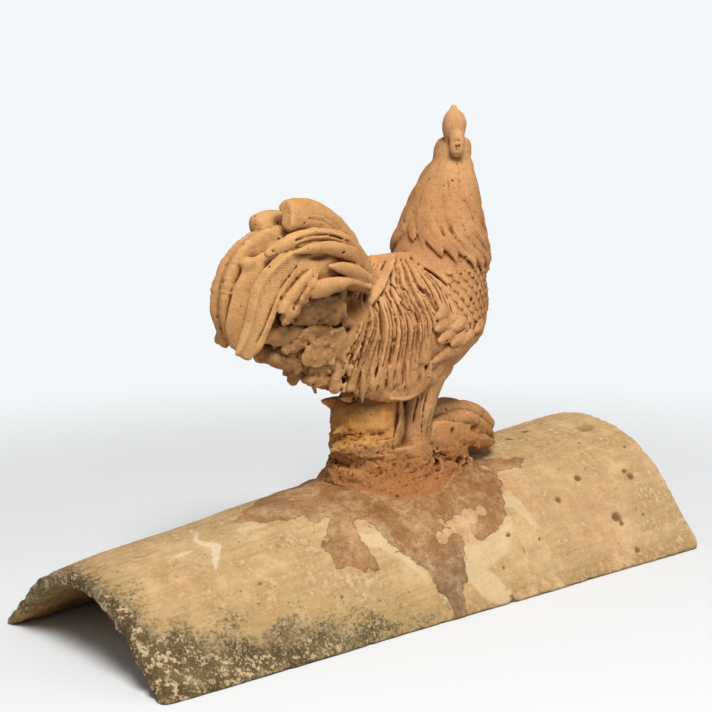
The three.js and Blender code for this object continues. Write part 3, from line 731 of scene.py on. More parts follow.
def ball(centre, sizes, soft=2.0, take=False):
    """A rounded lump of those half sizes."""
    centre, sizes = np.asarray(centre, float), np.asarray(sizes, float)
    cut, x, y, z = window(centre - sizes - 6, centre + sizes + 6)
    gap = oval_gap(x - centre[0], y - centre[1], z - centre[2], *sizes).astype(np.float32)
    (cut_clay if take else add_clay)(cut, gap, soft)


def upright(stations, soft, rough=0.0, seed=1):
    """A mass of level ovals: stations are (z, centre x, centre y, half x, half y)."""
    run = smooth_run(stations, 60)
    reach = run[:, 3:].max() * (1 + rough) + 6
    low = [run[:, 1].min() - reach, run[:, 2].min() - reach, run[0, 0] - 4]
    high = [run[:, 1].max() + reach, run[:, 2].max() + reach, run[-1, 0] + 4]
    cut, x, y, z = window(low, high)
    cx, cy, rx, ry = (np.interp(z, run[:, 0], run[:, k]) for k in range(1, 5))
    turn = np.arctan2(y - cy, x - cx)
    swell = 1 + rough * (np.sin(3 * turn + z * 0.11 + seed) + 0.7 * np.sin(5 * turn - z * 0.23 + 2 * seed)
                         + 0.6 * np.sin(9 * turn + z * 0.37 + 3 * seed))
    gap = oval_gap(x - cx, y - cy, 0, rx * swell, ry * swell, 1)
    gap = np.maximum(gap, np.maximum(run[0, 0] - z, z - run[-1, 0])).astype(np.float32)
    add_clay(cut, gap, soft)


def cloud(cut, sizes, seed):
    """Smooth noise in -1..1 through a window of the block, with lumps of those sizes."""
    sizes = np.broadcast_to(np.asarray(sizes, float), 3)
    counts = [int(n * VOXEL / s) + 4 for n, s in zip(block_size, sizes)]
    made = np.random.default_rng(seed).uniform(-1, 1, counts).astype(np.float32)
    for axis in range(3):
        at = np.arange(cut[axis].start, cut[axis].stop) * VOXEL / sizes[axis]
        i = at.astype(int)
        f = (at - i).astype(np.float32)
        f = f * f * (3 - 2 * f)
        f = f.reshape([-1 if k == axis else 1 for k in range(3)])
        made = np.take(made, i, axis) * (1 - f) + np.take(made, i + 1, axis) * f
    return made


# Trunk: upright ovals along the bird, (x, centre z, half width, half height).
TRUNK = [(-66, 194, 8, 9), (-56, 192, 17, 19), (-32, 190, 28, 31), (0, 188, 36, 40), (28, 187, 41, 45),
         (55, 189, 42, 43.5), (78, 194, 37, 38), (94, 198, 29.5, 30), (105, 201, 20, 21), (111, 203, 9, 10)]
# Neck and breast: level ovals, (z, centre x, centre y, half x, half y).
NECK = [(196, 64, 0, 36, 32), (212, 67, 0, 38.5, 36.5), (230, 71, 0, 37, 35.5), (250, 74.5, 1, 34, 33.5),
        (268, 77.5, 2, 30, 30), (287, 82, 2.5, 24.6, 24.6), (303, 86.5, 3.5, 18, 18), (309, 88, 3.5, 14.6, 14.6),
        (316, 89, 3.5, 13.2, 13.2), (324, 90, 3.5, 11.5, 11)]
trunk_run, neck_run = smooth_run(TRUNK, 60), smooth_run(NECK, 60)
cut, x, y, z = window((-70, -60, 130), (120, 60, 250))
zc, half_y, half_z = (np.interp(x, trunk_run[:, 0], trunk_run[:, k]) for k in (1, 2, 3))
gap = oval_gap(y, z - zc, 0, half_y, half_z, 1)
add_clay(cut, np.maximum(gap, np.maximum(-66 - x, x - 112)).astype(np.float32), 2.0)
upright(NECK, 8.0)


def flank(x, z):
    """How far out the trunk or neck reaches sideways at (x, z)."""
    zc, wide, high = (np.interp(x, trunk_run[:, 0], trunk_run[:, k]) for k in (1, 2, 3))
    trunk_y = wide * math.sqrt(max(1 - ((z - zc) / high) ** 2, 0.0))
    cx, rx, ry = (np.interp(z, neck_run[:, 0], neck_run[:, k]) for k in (1, 3, 4))
    neck_y = ry * math.sqrt(max(1 - ((x - cx) / rx) ** 2, 0.0)) if 196 < z < 322 else 0.0
    return max(trunk_y, neck_y)


def neck_point(turn, z, proud):
    """The point on the neck at that turn, 0 at the breast and positive to the left."""
    cx, cy, rx, ry = (float(np.interp(z, neck_run[:, 0], neck_run[:, k])) for k in (1, 2, 3, 4))
    return (cx + (rx + proud) * math.cos(turn), cy + (ry + proud) * math.sin(turn), z)


# ---------------------------------------------------------------------------
# The head: a small skull turned well to the bird's left, with a thick single
# comb whose hanging blade has broken short, ear lobes and two wattles.
# ---------------------------------------------------------------------------
HEAD_TURN = math.radians(48)
HEAD = (91.0, 4.0, 318.0)
turn_cos, turn_sin = math.cos(HEAD_TURN), math.sin(HEAD_TURN)


def on_head(p):
    x, y, z = p
    return (HEAD[0] + x * turn_cos - y * turn_sin, HEAD[1] + x * turn_sin + y * turn_cos, HEAD[2] + z)


def head_face(p):
    x, y, z = p
    return (x * turn_cos - y * turn_sin, x * turn_sin + y * turn_cos, z)


ball(on_head((1, 0, -2)), (12.5, 12.5, 12), 5)
ball(on_head((9, 0, -3)), (11, 9, 9), 4)
for side in (RIGHT, LEFT):
    ball(on_head((0, side * 7.5, 0)), (7, 5.4, 7.5), 2.5)
    ball(on_head((-6, side * 8.5, -14)), (7, 5.2, 8), 3)
    lock([on_head((16, side * 5, -7)), on_head((18, side * 6, -15)), on_head((17, side * 5.5, -24))],
         [3, 6, 6, 3], [2, 3, 3, 1.5], head_face((0, side, 0)), 1.5)
    ball(on_head((11, side * 8.8, 1.5)), (2.6, 2.2, 2.4), 0.8)
    lock([on_head((7, side * 9.4, 3)), on_head((11, side * 10, 4.6)), on_head((15, side * 8.6, 2.5))],
         [0.8, 1.1, 0.7], [0.8, 1.0, 0.7], head_face((0, side, 0)), 0.8)
lock([on_head((14, 0, 0)), on_head((24, 0, -1)), on_head((33, 0, -5)), on_head((37, 0, -9))],
     [6.5, 5.2, 3.2, 0.8], [5.5, 4.6, 3, 0.8], head_face((0, 0, 1)), 1.5)
lock([on_head((12, 5.5, -4)), on_head((24, 4.6, -4.4)), on_head((33, 1.5, -7.5))],
     [0.5, 0.5, 0.4], [0.9, 0.9, 0.6], head_face((0, 1, 0)), 0.5, take=True)
lock([on_head((12, -5.5, -4)), on_head((24, -4.6, -4.4)), on_head((33, -1.5, -7.5))],
     [0.5, 0.5, 0.4], [0.9, 0.9, 0.6], head_face((0, -1, 0)), 0.5, take=True)
# Comb: a thick leaf along the skull, with low worn points towards the beak.
lock([on_head((-10, 0, 7)), on_head((-11, 0, 14)), on_head((-10.5, 0, 20)), on_head((-9, 0, 25.5)), on_head((-8, 0, 30))],
     [6, 8, 8.5, 6.5, 2.6], [7.0, 8.9, 8.9, 6.6, 2.4], head_face((0, 1, 0)), 1.2)
lock([on_head((-8, 0, 14)), on_head((2, 0, 17)), on_head((14, 0, 13)), on_head((22, 0, 6))],
     [9, 9, 7, 4], [6.6, 5.6, 4.4, 3], head_face((0, 1, 0)), 2.5)
for x0, tip in ((2, 25), (10, 20), (17, 14)):
    lock([on_head((x0, 0, tip - 12)), on_head((x0 + 1.5, 0, tip))], [5, 2.4], [4.4, 2.2],
         head_face((0, 1, 0)), 2.0)
lock([on_head((-15.5, 0.6, 29)), on_head((-19.5, -0.4, 23)), on_head((-20.5, -1.6, 16))], [0.9, 1.1, 0.6],
     [1.2, 1.6, 1.0], head_face((-1, 0, 0)), 1.2, take=True)
# The comb's blade hanging behind the skull, its end broken and pitted.
lock([on_head((-12, -1.8, 13)), on_head((-18, -1.8, 6)), on_head((-19.5, -1.8, -1)), on_head((-18.5, -1.8, -3))],
     [6.0, 6.0, 5.6, 4.6], [6, 4.8, 3.6, 2.6], head_face((-1, 0, 0.2)), 0.9, rib=-0.7, rib_at=0.9)
broken = np.random.default_rng(21)
for _ in range(9):
    spot = (-23.2, -4.6 + 5.0 * broken.random(), 9 - 15 * broken.random())
    ball(on_head(spot), (1.5, 0.9 + 0.8 * broken.random(), 0.9 + broken.random()), 0.4, take=True)

# ---------------------------------------------------------------------------
# The neck hackle: long narrow feathers that wrap forward as they fall, soft and
# worn over the nape, deeply cut at the sides, with tufts along the cape's edge.
# ---------------------------------------------------------------------------
hackle = np.random.default_rng(4)


def mix(a, b, t):
    return a + (b - a) * t


def cape_edge(turn):
    """The height of the cape's lower edge at that turn round the neck."""
    back = math.cos(turn) < 0
    return 228 - 5 * math.cos(turn) + (17 * math.cos(turn) ** 2 if back else 0)


# Each strand: its height at the top, how far it falls, its width, and how deep it is cut.
STRANDS = [(306, 26, 4.2, 0.22, 7), (292, 32, 4.4, 0.30, 8), (277, 36, 4.2, 0.62, 10), (262, 40, 3.7, 0.95, 13)]
for side in (RIGHT, LEFT):
    for row, (top, fall, size, cut_in, count) in enumerate(STRANDS):
        for k in range(count):
            turn = math.pi * (1 - (k + 0.5 + 0.5 * hackle.uniform(-1, 1)) / count)
            on_side = math.sin(turn) ** 0.7
            relief = cut_in * mix(0.35, 1.0, on_side) * hackle.uniform(0.7, 1.15)
            wrap = 0.10 + (0.34 + 0.16 * row) * on_side
            high = top + 5 * hackle.random()
            low = cape_edge(turn - wrap) + 4 * hackle.random() if row == 3 else high - fall
            # Straight at first, then a bow forwards, and the tip falls again.
            run = [(0.0, 1.0, -0.8), (0.10, 0.78, 0.3), (0.42, 0.5, 1.0), (0.85, 0.24, 1.5), (1.0, 0.0, 1.1)]
            path = []
            for wrapped, height_share, lift in run:
                z0 = low + (high - low) * height_share
                path.append(neck_point(side * (turn - wrap * wrapped), z0,
                                       lift * mix(0.5, 1.5, relief) + (1.0 if row == 3 else 0) - 1.0))
            middle = math.cos(turn - wrap * 0.5), side * math.sin(turn - wrap * 0.5), 0.3
            thick = 0.9 + 1.5 * relief
            lock(path, [0.9, size * 0.8, size, size * 0.9, 0.7], [0.8, thick, thick, thick, 0.8], middle, 0.6,
                 rib=-0.7 * relief, rib_at=hackle.uniform(-0.3, 0.3), rib_wide=0.9, lines=0.3 + 0.5 * relief,
                 pitch=1.25, steps=12)

# ---------------------------------------------------------------------------
# The saddle: long thin feathers that fan out from the root of the neck and
# hang down over each flank, cut apart by deep tool strokes.
# ---------------------------------------------------------------------------
saddle = np.random.default_rng(9)

# Where the feathers run: at each height, x from the rump's edge to the wing's.
RUN_SHARES = (0.0, 0.2, 0.45, 0.6, 0.8, 1.0)
RUNS = [(239, (4, 13, 21, 26, 32, 38)), (219, (-23, -14, 4, 12, 24, 46)), (197, (-31, -17, 7, 13, 33, 46)),
        (175, (-46, -21, 7, 13, 31, 42)), (152, (-53, -28, 2, 9, 24, 38))]


def saddle_line(t, tip_z, drift_x=0.0):
    """The run of one feather at share t across the saddle, down to tip_z."""
    line = [(float(np.interp(t, RUN_SHARES, xs)), z0) for z0, xs in RUNS]
    ends = [(float(np.interp(-tip_z, [-z0 for x0, z0 in line], [x0 for x0, z0 in line])), tip_z)]
    line = [(x0 + drift_x * (239 - z0) / 87, z0) for x0, z0 in line if z0 > tip_z + 9] + ends
    return line


def saddle_path(side, line, proud, root_proud=0.3):
    path = []
    for px, pz in line:
        hang = mix(26, 40, min(max((px + 45) / 70, 0), 1)) if pz < 200 else 5
        path.append((px, side * (max(flank(px, pz), hang) + (proud if pz < 230 else root_proud)), pz))
    return path


for side in (RIGHT, LEFT):
    # The thick under-layer that the thin feathers lie on.
    for k in range(11):
        t = k / 10
        low = 154 if t < 0.62 else mix(160, 196, (t - 0.62) / 0.38)
        path = [(px, py - side * 3.2, pz) for px, py, pz in saddle_path(side, saddle_line(t, low), 0, -1)]
        lock(path, [3, 6, 6.5, 6, 4][:len(path)], [3, 5, 6, 5, 4][:len(path)], (-0.2, side, 0.2), 2.0, steps=10)
    count = 31 if side == RIGHT else 22
    for k in range(count):
        t = min((k + 0.5 * saddle.random()) / (count - 1), 1.0)
        if t < 0.62:
            tip_z = 145 + 7 * saddle.random() + 6 * max(0.25 - t, 0) / 0.25
        else:
            tip_z = mix(172, 205, (t - 0.62) / 0.38) + 8 * saddle.random()
        line = saddle_line(t, tip_z, 5 * (saddle.random() - 0.5))
        path = saddle_path(side, line, 0.1 + 1.2 * (k % 2) + 1.1 * saddle.random())
        path[-1] = (path[-1][0], path[-1][1] - side * 1.5, path[-1][2])
        wide = 1.5 + 1.3 * saddle.random()
        tail_off = [0.8] + [wide * saddle.uniform(0.75, 1.1) for _ in path[2:]] + [0.7]
        lock(path, tail_off, [0.7] + [2.2] * (len(path) - 2) + [0.7], (-0.25, side, 0.25), 0.7,
             rib=-0.7 * saddle.random(), rib_at=saddle.uniform(-0.4, 0.4), rib_wide=0.8,
             lean=0.25 * saddle.uniform(-1, 1), lines=0.7, pitch=1.2, steps=13)
    # Short feathers over the root of the tail, lying back along the rump.
    for k in range(9):
        t = k / 8
        root = (mix(24, 6, t), side * mix(3, 19, t), mix(242, 234, t))
        tip = (mix(-10, -27, t), side * mix(5, 28, t), mix(229, 208, t))
        middle = tuple((a + b) / 2 + c for a, b, c in zip(root, tip, (-1, side * 1.2, -1 + 2 * t)))
        lock([root, middle, tip], [1.5, 3.6, 1.2], [1, 2.2, 1], (-0.3, side * 0.6, 0.8), 1.0,
             rib=-0.5, lines=0.8, pitch=1.2, steps=8)
    # Low, soft locks over the thigh, under the wing's tip.
    for k in range(16):
        px, pz = mix(8, 52, (k % 4 + 0.5 * (k // 4 % 2)) / 3.6), mix(188, 163, (k // 4) / 3)
        path = [(qx, side * (mix(39.5, 34.5, (190 - qz) / 44) - 0.2 * max(qx - 36, 0)), qz)
                for qx, qz in ((px + 3, pz + 4), (px, pz - 4), (px - 4, pz - 12))]
        lock(path, [1.5, 3.6, 1.0], [1, 1.9, 0.8], (-0.1, side, -0.2), 0.8, rib=-0.4, lines=0.9, pitch=1.2,
             steps=7)
# Slits left by the tool between hanging feathers: (half width, depth, the run in x and z).
SLITS = [(1.3, 5.5, [(3.5, 223), (4.7, 211), (7.5, 196)]), (1.0, 4.5, [(10, 221), (11.7, 212), (13.2, 196)]),
         (1.5, 6, [(-15, 212), (-16.2, 200), (-17.7, 188), (-20, 174)]), (0.9, 4, [(-27, 198), (-33, 180), (-37, 164)]),
         (2.0, 3, [(22.5, 222), (29, 210), (35, 195)]), (0.9, 3.5, [(36, 236), (45, 224), (50, 210)]),
         (1.0, 4, [(-8, 186), (-10, 170), (-13, 156)])]
for side in (RIGHT, LEFT):
    for half, deep, line in SLITS:
        path = saddle_path(side, line, 1.2, 0.6)
        lock(path, [0.4] + [half] * (len(path) - 2) + [0.5] if len(path) > 2 else [half, 0.4],
             [deep * 0.5] + [deep] * (len(path) - 2) + [deep * 0.5] if len(path) > 2 else [deep, deep * 0.5],
             (-0.3, side, 0.2), 0.9, take=True, steps=9)
    # Thin strokes scored the length of the saddle.
    scores = 30 if side == RIGHT else 22
    for k in range(scores):
        t = mix(-0.10, 1.0, (k + 0.6 * saddle.random()) / scores)
        low = mix(150, 158, saddle.random()) if t < 0.62 else mix(168, 200, (t - 0.62) / 0.38)
        line = saddle_line(t, low, 3 * (saddle.random() - 0.5))
        if t < 0:
            line = [(px + 80 * t, pz) for px, pz in line]
        start = 0 if saddle.random() < 0.6 else 1
        line = line[start:]
        path = saddle_path(side, line, 3.0, 1.6)
        half, deep = saddle.uniform(0.65, 1.05), saddle.uniform(2.0, 3.2)
        lock(path, [0.4] + [half] * (len(path) - 2) + [0.4], [deep * 0.5] + [deep] * (len(path) - 2) + [deep * 0.6],
             (-0.3, side, 0.2), 0.9, take=True, steps=16)
    lock([(8, side * 21, 236.5), (0, side * 24, 229), (-10, side * 25, 217)], [0.5, 0.9, 0.5], [2, 3, 2],
         (-0.3, side, 0.5), 0.6, take=True, steps=8)
    lock([(17, side * 21, 237), (24, side * 25, 229), (32, side * 27, 227)], [1.5, 2.6, 1.0], [1.2, 2.4, 1.2],
         (-0.3, side, 0.6), 1.2, take=True, steps=8)
    ball((11, side * 42, 173), (1.8, 4, 2.6), 0.6, take=True)

# ---------------------------------------------------------------------------
# The folded wing: rows of small round scale feathers over the shoulder, larger
# ones below, then long flight feathers that run back and down over the thigh.
# ---------------------------------------------------------------------------
scales = np.random.default_rng(14)
FLOW = np.array([-0.78, -0.62])           # the way that the feathers point, in x and z
ACROSS = np.array([0.62, -0.78])


def wing_feather(side, x0, z0, long, wide, thick, proud, flow=FLOW, lines=0.8, rib=0.0, soft=0.4):
    """A short round feather lying on the flank, its tip proud of the next one."""
    path = []
    for t, up_by in ((0, -1.0), (0.5, 0.25), (1.0, 0.7)):
        px, pz = x0 + flow[0] * long * t, z0 + flow[1] * long * t
        path.append((px, side * (max(flank(px, pz), 14) + proud + up_by * thick), pz))
    zc = 190 if z0 < 205 else z0 - 20
    face = (0.5 * (x0 - 55) / 40, side, 0.35 * (z0 - zc) / 30)
    lock(path, [wide * 0.8, wide, wide * 0.95, wide * 0.55], [thick * 0.6, thick, thick, thick * 0.8], face,
         soft, lines=lines, rib=rib, pitch=1.15, steps=7)


SHOULDER_TOP = (99.0, 235.0)       # the scales are smallest here and grow away from it
SCALE_WIDE, SCALE_STEP, SCALE_GROWTH = 5.4, 4.0, 0.016
cut, x, y, z = window((38, -60, 176), (116, 60, 234))
stray = cloud(cut, 9.0, 51)
dx = x - SHOULDER_TOP[0] + 1.0 * stray
dz = z - SHOULDER_TOP[1] + 1.0 * cloud(cut, 9.0, 52)
shrink = np.hypot(dx, dz) + 1e-3
shrink = np.log1p(SCALE_GROWTH * shrink) / (SCALE_GROWTH * shrink)
a_run = (dx * FLOW[0] + dz * FLOW[1]) * shrink
b_run = (dx * ACROSS[0] + dz * ACROSS[1]) * shrink
first = np.floor(a_run / SCALE_STEP)
raised = np.zeros_like(a_run)
settled = np.zeros(a_run.shape, bool)
SCALE_ROUND = SCALE_WIDE * 0.62
for back in (1, 0, -1):
    row = first - back
    shift = 0.5 * (row % 2)
    column = np.round(b_run / SCALE_WIDE - shift) + shift
    da, db = a_run - row * SCALE_STEP, b_run - column * SCALE_WIDE
    inside = (da * da + db * db < SCALE_ROUND ** 2) & ~settled
    raised = np.where(inside, 0.35 + 1.15 * (da / SCALE_ROUND) - 0.25 * (db / SCALE_ROUND) ** 2, raised)
    settled |= inside
bound = (np.clip((z - (184 + 0.42 * np.maximum(x - 74, 0) + 0.5 * np.maximum(62 - x, 0))) / 3, 0, 1)
         * np.clip((x - 44) / 4, 0, 1) * np.clip((231 - z) / 3, 0, 1) * np.clip((np.abs(y) - 12) / 5, 0, 1))
figure[cut] -= (raised * bound * np.clip(1.6 - np.abs(figure[cut]) / 4, 0, 1)).astype(np.float32)
for side in (RIGHT, LEFT):
    for x0, z0, long in ((44, 196, 18), (50, 188, 20), (60, 184, 18), (72, 184, 19), (42, 203, 13),
                         (58, 194, 15), (86, 190, 17)):
        wing_feather(side, x0 + scales.uniform(-1, 1), z0, long, 5.2, 2.0, 1.2, (-0.95, -0.3), rib=0.5)
    for k in range(8):
        t = k / 7
        x0, z0 = mix(98, 52, t), mix(192, 180, t)
        wing_feather(side, x0, z0, mix(36, 26, t), 3.6, 1.8, 0.2 + 0.4 * (k % 2),
                     (-0.84, -0.54), rib=0.3, soft=0.8)

# ---------------------------------------------------------------------------
# The tail: paired sickle feathers that arch over and hang, each a thick blade
# with a rib and curved barbs. The two top feathers are broken off blunt.
# ---------------------------------------------------------------------------
def in_fan(side, path):
    """A run in the tail, given for the right. The fan's middle leans to the left,
    and its left half closes forwards."""
    if side == RIGHT:
        return path
    closed = []
    for px, py, pz in path:
        share = min(max((-15 - px) / 60, 0), 1)
        over = 12 * share - py
        closed.append((px + share * max(over - 12, 0) * 1.05, over, pz))
    return closed


lock([(-10, 0, 214), (-38, 1, 236), (-76, 3, 236), (-104, 4, 208)], [20, 25, 25, 15], [12, 15, 15, 11],
     (0, 1, 0), 4.0)
lock([(-16, 0, 190), (-52, 1, 194), (-84, 2, 192)], [22, 23, 11], [12, 14, 9], (0, 1, 0), 4.0)
for side in (RIGHT, LEFT):
    lock(in_fan(side, [(-12, -14, 226), (-34, -18, 236), (-62, -18, 240), (-88, -17, 234), (-104, -15, 222)]),
         [9, 15, 16, 15, 8], [8, 8.5, 8.5, 7.5, 5], (0, side, 0), 3.0)
# The long top feather, broken off blunt, and the stub of its pair.
lock([(-14, -5, 236), (-27, -7, 253), (-42, -7, 265.5), (-58, -7, 273), (-72, -7, 275.5), (-82, -7, 273.5)],
     [7, 9, 11, 12, 11.5, 11], [6, 6.5, 7, 7, 6.5, 6], (-0.25, -1, 0.6), 1.2, cup=0.05, lean=-0.1, lines=0.4,
     slant=0.8, pitch=1.6)
for lift, deep in ((0, 1.0), (-4.5, 0.7)):
    lock([(-71, -15, 278 + lift), (-56, -15, 276 + lift), (-44, -15, 270 + lift), (-34, -14, 260 + lift)],
         [0.5, 1.0, 1.0, 0.5], [1.5, 2.6 * deep, 2.4 * deep, 1], (-0.2, -1, 0.6), 0.8, take=True)
lock([(-91.5, -11, 268), (-85, -11, 294)], [9, 9], [13, 13], (0, -1, 0), 1.5, take=True)
lock([(-34, 12, 252), (-60, 12, 265), (-78, 12, 268.5), (-91, 12, 267)], [9, 10, 9.5, 8], [9, 9, 9, 8.5],
     (0, 1, 0.5), 1.5)
ball((-79, 1, 271), (6, 5, 9), 1.2, take=True)
# The feathers of the fan from the back one forwards: path, half widths, half
# thicknesses, face, rib height and place, lean, cup, barbs.
FAN = [
    ([(-12, 2, 238), (-40, 3, 250), (-68, 3, 254), (-92, 4, 251), (-108, 4, 241), (-117, 5, 226), (-119, 5, 209),
      (-119, 6, 197)], [7, 11, 14, 15.5, 16, 15.5, 14.5, 10], [5, 6, 7, 7, 7, 6.5, 6, 4], (-0.5, -0.85, 0.25),
     0.0, 0.0, 0.0, 0.0, 0.5),
    ([(-86, -5, 249), (-104, -7, 241), (-113, -8, 229), (-119, -8, 215), (-122, -8, 201), (-124, -7, 191)],
     [4, 8, 10, 10, 10, 6], [2.4, 3.4, 3.8, 3.8, 3.6, 3], (-0.45, -0.88, 0.15), 0.9, 0.1, -0.1, 0.0, 0.7),
    ([(-70, -19, 248), (-88, -21, 243), (-104, -21.5, 230), (-112, -21.5, 219), (-116.5, -21, 207), (-122, -20.5, 195),
      (-128, -19.5, 187)], [5, 10, 13, 12, 10, 9, 6.5], [2.6, 3.8, 4.4, 4.4, 4.2, 4, 3], (-0.35, -0.92, 0.15),
     1.9, -0.62, -0.2, 0.12, 0.7),
    ([(-20, -19, 240), (-33, -20, 252), (-46, -21, 258.5), (-62, -21, 262), (-78, -20, 261), (-91, -19, 257),
      (-104, -16, 251)], [4, 5, 5, 4.6, 4.8, 5, 3], [4, 4.6, 4.6, 4.4, 4.4, 4.4, 2.6], (-0.2, -0.95, 0.3),
     0.0, 0.0, 0.0, 0.0, 0.5),
    ([(-24, -25, 236), (-34, -26, 244), (-46, -27, 249.5), (-62, -27.5, 253), (-77, -26.5, 253), (-89, -25, 251)],
     [4, 5.5, 5.5, 4.6, 3.6, 1], [3.6, 4.6, 4.6, 4, 3.2, 1], (-0.1, -0.95, 0.25), 0.0, 0.0, -0.15, 0.0, 0.7),
    ([(-24, -27, 229), (-36, -29, 234), (-50, -30, 238.5), (-61, -29, 240.5)], [3.4, 5, 4.4, 1.6],
     [3, 4, 3.4, 1.2], (-0.1, -0.95, 0.2), 0.0, 0.0, -0.1, 0.0, 0.7),
    ([(-70, -26, 238), (-80, -28, 231), (-91, -29, 221.5), (-98.5, -29, 212.5), (-100, -28, 207)],
     [3, 6, 7.4, 7, 4.6], [2.4, 3.8, 4.4, 4.2, 3], (-0.2, -0.95, 0.1), -1.6, -0.1, 0.0, 0.0, 0.8),
    ([(-24, -28, 224), (-42, -30, 228.5), (-57, -31.5, 228), (-69, -31.5, 226.5), (-78, -30, 224)],
     [2, 3, 5.6, 6.4, 4.2], [2, 3, 4.4, 4.4, 3], (-0.1, -0.95, 0.3), 0.0, 0.0, 0.1, 0.0, 0.7),
    # The torn wall under them, down to its ragged edge, and the brink of the hollow.
    ([(-92, -19, 207), (-80, -22, 209), (-66, -24, 210), (-50, -24, 211)], [4, 9, 9.5, 8], [2, 3, 3.4, 3],
     (-0.1, -0.98, -0.15), 0.0, 0.0, 0.0, 0.0, 0.2),
    ([(-46, -24, 223), (-49, -25, 211), (-43, -25, 201), (-33, -24, 196)], [3, 3.6, 3.8, 3.4], [3, 3.4, 3.4, 3],
     (-0.1, -0.98, 0.0), 0.0, 0.0, 0.0, 0.0, 0.2),
]
for side in (RIGHT, LEFT):
    for path, wide, thick, face, rib, rib_at, lean, cup, lines in FAN:
        face = (face[0], -side * face[1], face[2])
        lock(in_fan(side, path), wide, thick, face, 1.5, rib=rib, rib_at=-side * rib_at, rib_wide=2.2,
             lean=-side * lean, cup=cup, lines=lines, slant=0.9, pitch=1.6, steps=20)
    # Strokes down the outer feathers, and the joints between them.
    for line in ([(-98, -3, 249), (-106, 0, 237), (-115, 2, 224), (-121, 3, 212), (-123, 3, 200)],
                 [(-92, -9, 247), (-106, -12, 235), (-114, -13, 222), (-118, -14, 208), (-122, -14, 196)],
                 [(-113, -3, 232), (-120, -4, 220), (-124, -4, 208), (-126, -4, 198)],
                 [(-108, 3, 238), (-119, 4, 224), (-126, 5, 211), (-127, 5, 200)],
                 [(-100, -14, 243), (-110, -17, 231), (-116, -18, 217), (-120, -18, 203)],
                 [(-86, -24, 242), (-101, -26, 229), (-109, -26, 216), (-115, -25, 203), (-121, -24, 193)],
                 [(-50, -12, 256), (-66, -14, 262), (-82, -13, 262), (-97, -10, 256)],
                 [(-40, -24, 256), (-56, -25, 261), (-72, -25, 262), (-86, -23, 259)],
                 [(-82, -31, 230), (-91, -32, 221), (-97, -32, 212)]):
        lock(in_fan(side, line), [0.4, 0.7, 0.8, 0.8, 0.5], [0.8, 1.3, 1.6, 1.4, 0.8], (-0.5, side * 0.85, 0.2), 0.9,
             take=True, steps=12)
    ball(in_fan(side, [(-112, -4, 244)])[0], (6, 5, 4.5), 3.0)
    # The hollow between hanging feathers and rump, and its dark corners.
    for centre, size in (((-33, -29, 211), (10.5, 15, 11.5)), ((-68, -29, 246.5), (12, 6, 2.6)),
                         ((-103, -24, 208), (2.4, 9, 5.5)), ((-86, -26, 204), (2.6, 6, 3.6)),
                         ((-63.5, -32, 237), (2.0, 4, 2.0)), ((-88, -22, 188), (2.5, 7, 3.0)),
                         ((-80, -13, 186), (3.5, 8, 2.4))):
        ball(in_fan(side, [centre])[0], size, 1.0, take=True)
    # Small feathers under the tail, lapped like petals, and crumbled clay.
    petals = [
        ([(-104, -12, 195), (-94, -16, 194), (-84, -18, 194), (-76, -18, 194)], [5, 7.5, 7, 5], [3, 4, 4, 3], 0.0),
        ([(-93, -6, 178), (-83, -9, 177), (-74, -11, 174), (-64, -12, 172)], [6, 9, 8.5, 6], [6, 7, 7, 6], 0.0),
        ([(-82, -15, 181), (-76, -17, 182), (-70, -18, 184), (-62, -18, 186)], [4, 6, 6, 4], [2, 3, 3, 2], 0.05),
        ([(-69, -16, 162), (-60, -18, 161.5), (-50, -19, 163), (-42, -19, 166)], [4, 6.5, 6.5, 5], [3, 4, 4, 3], 0.05),
        ([(-69, -18, 168), (-60, -20, 167.5), (-50, -21, 169), (-42, -21, 171)], [3, 5, 5, 4], [2, 3, 3, 2], 0.05),
        ([(-77, -22, 179), (-69, -24, 181), (-58, -25, 185), (-46, -25, 189)], [6, 10, 10.5, 8], [2.4, 3.6, 3.6, 3],
         0.08),
        ([(-82, -21, 194), (-75, -23, 195), (-66, -23, 195.5), (-58, -23, 197)], [3, 4.8, 4.8, 3.6], [2, 3, 3, 2],
         0.05),
        ([(-92, -17, 186), (-86, -19, 188), (-79, -20, 189), (-72, -20, 190)], [3, 5, 5, 3.6], [2, 3, 3, 2], 0.05),
        ([(-60, -21, 176), (-53, -23, 176), (-45, -24, 178), (-39, -24, 181)], [3, 4.6, 4.6, 3.4], [2, 3, 3, 2], 0.05),
        ([(-70, -22, 203), (-62, -24, 204), (-53, -25, 205), (-46, -25, 206)], [3, 5, 5, 3.4], [2, 3, 3, 2], 0.05),
    ]
    for path, wide, thick, cup in petals:
        lock(in_fan(side, path), wide, thick, (-0.35, side, -0.25), 0.7, lean=side * 0.12, cup=cup, lines=0.9,
             slant=0.5, pitch=1.5, steps=12)
ball((-63.5, -31, 237), (1.0, 2.4, 1.0), 0.3)

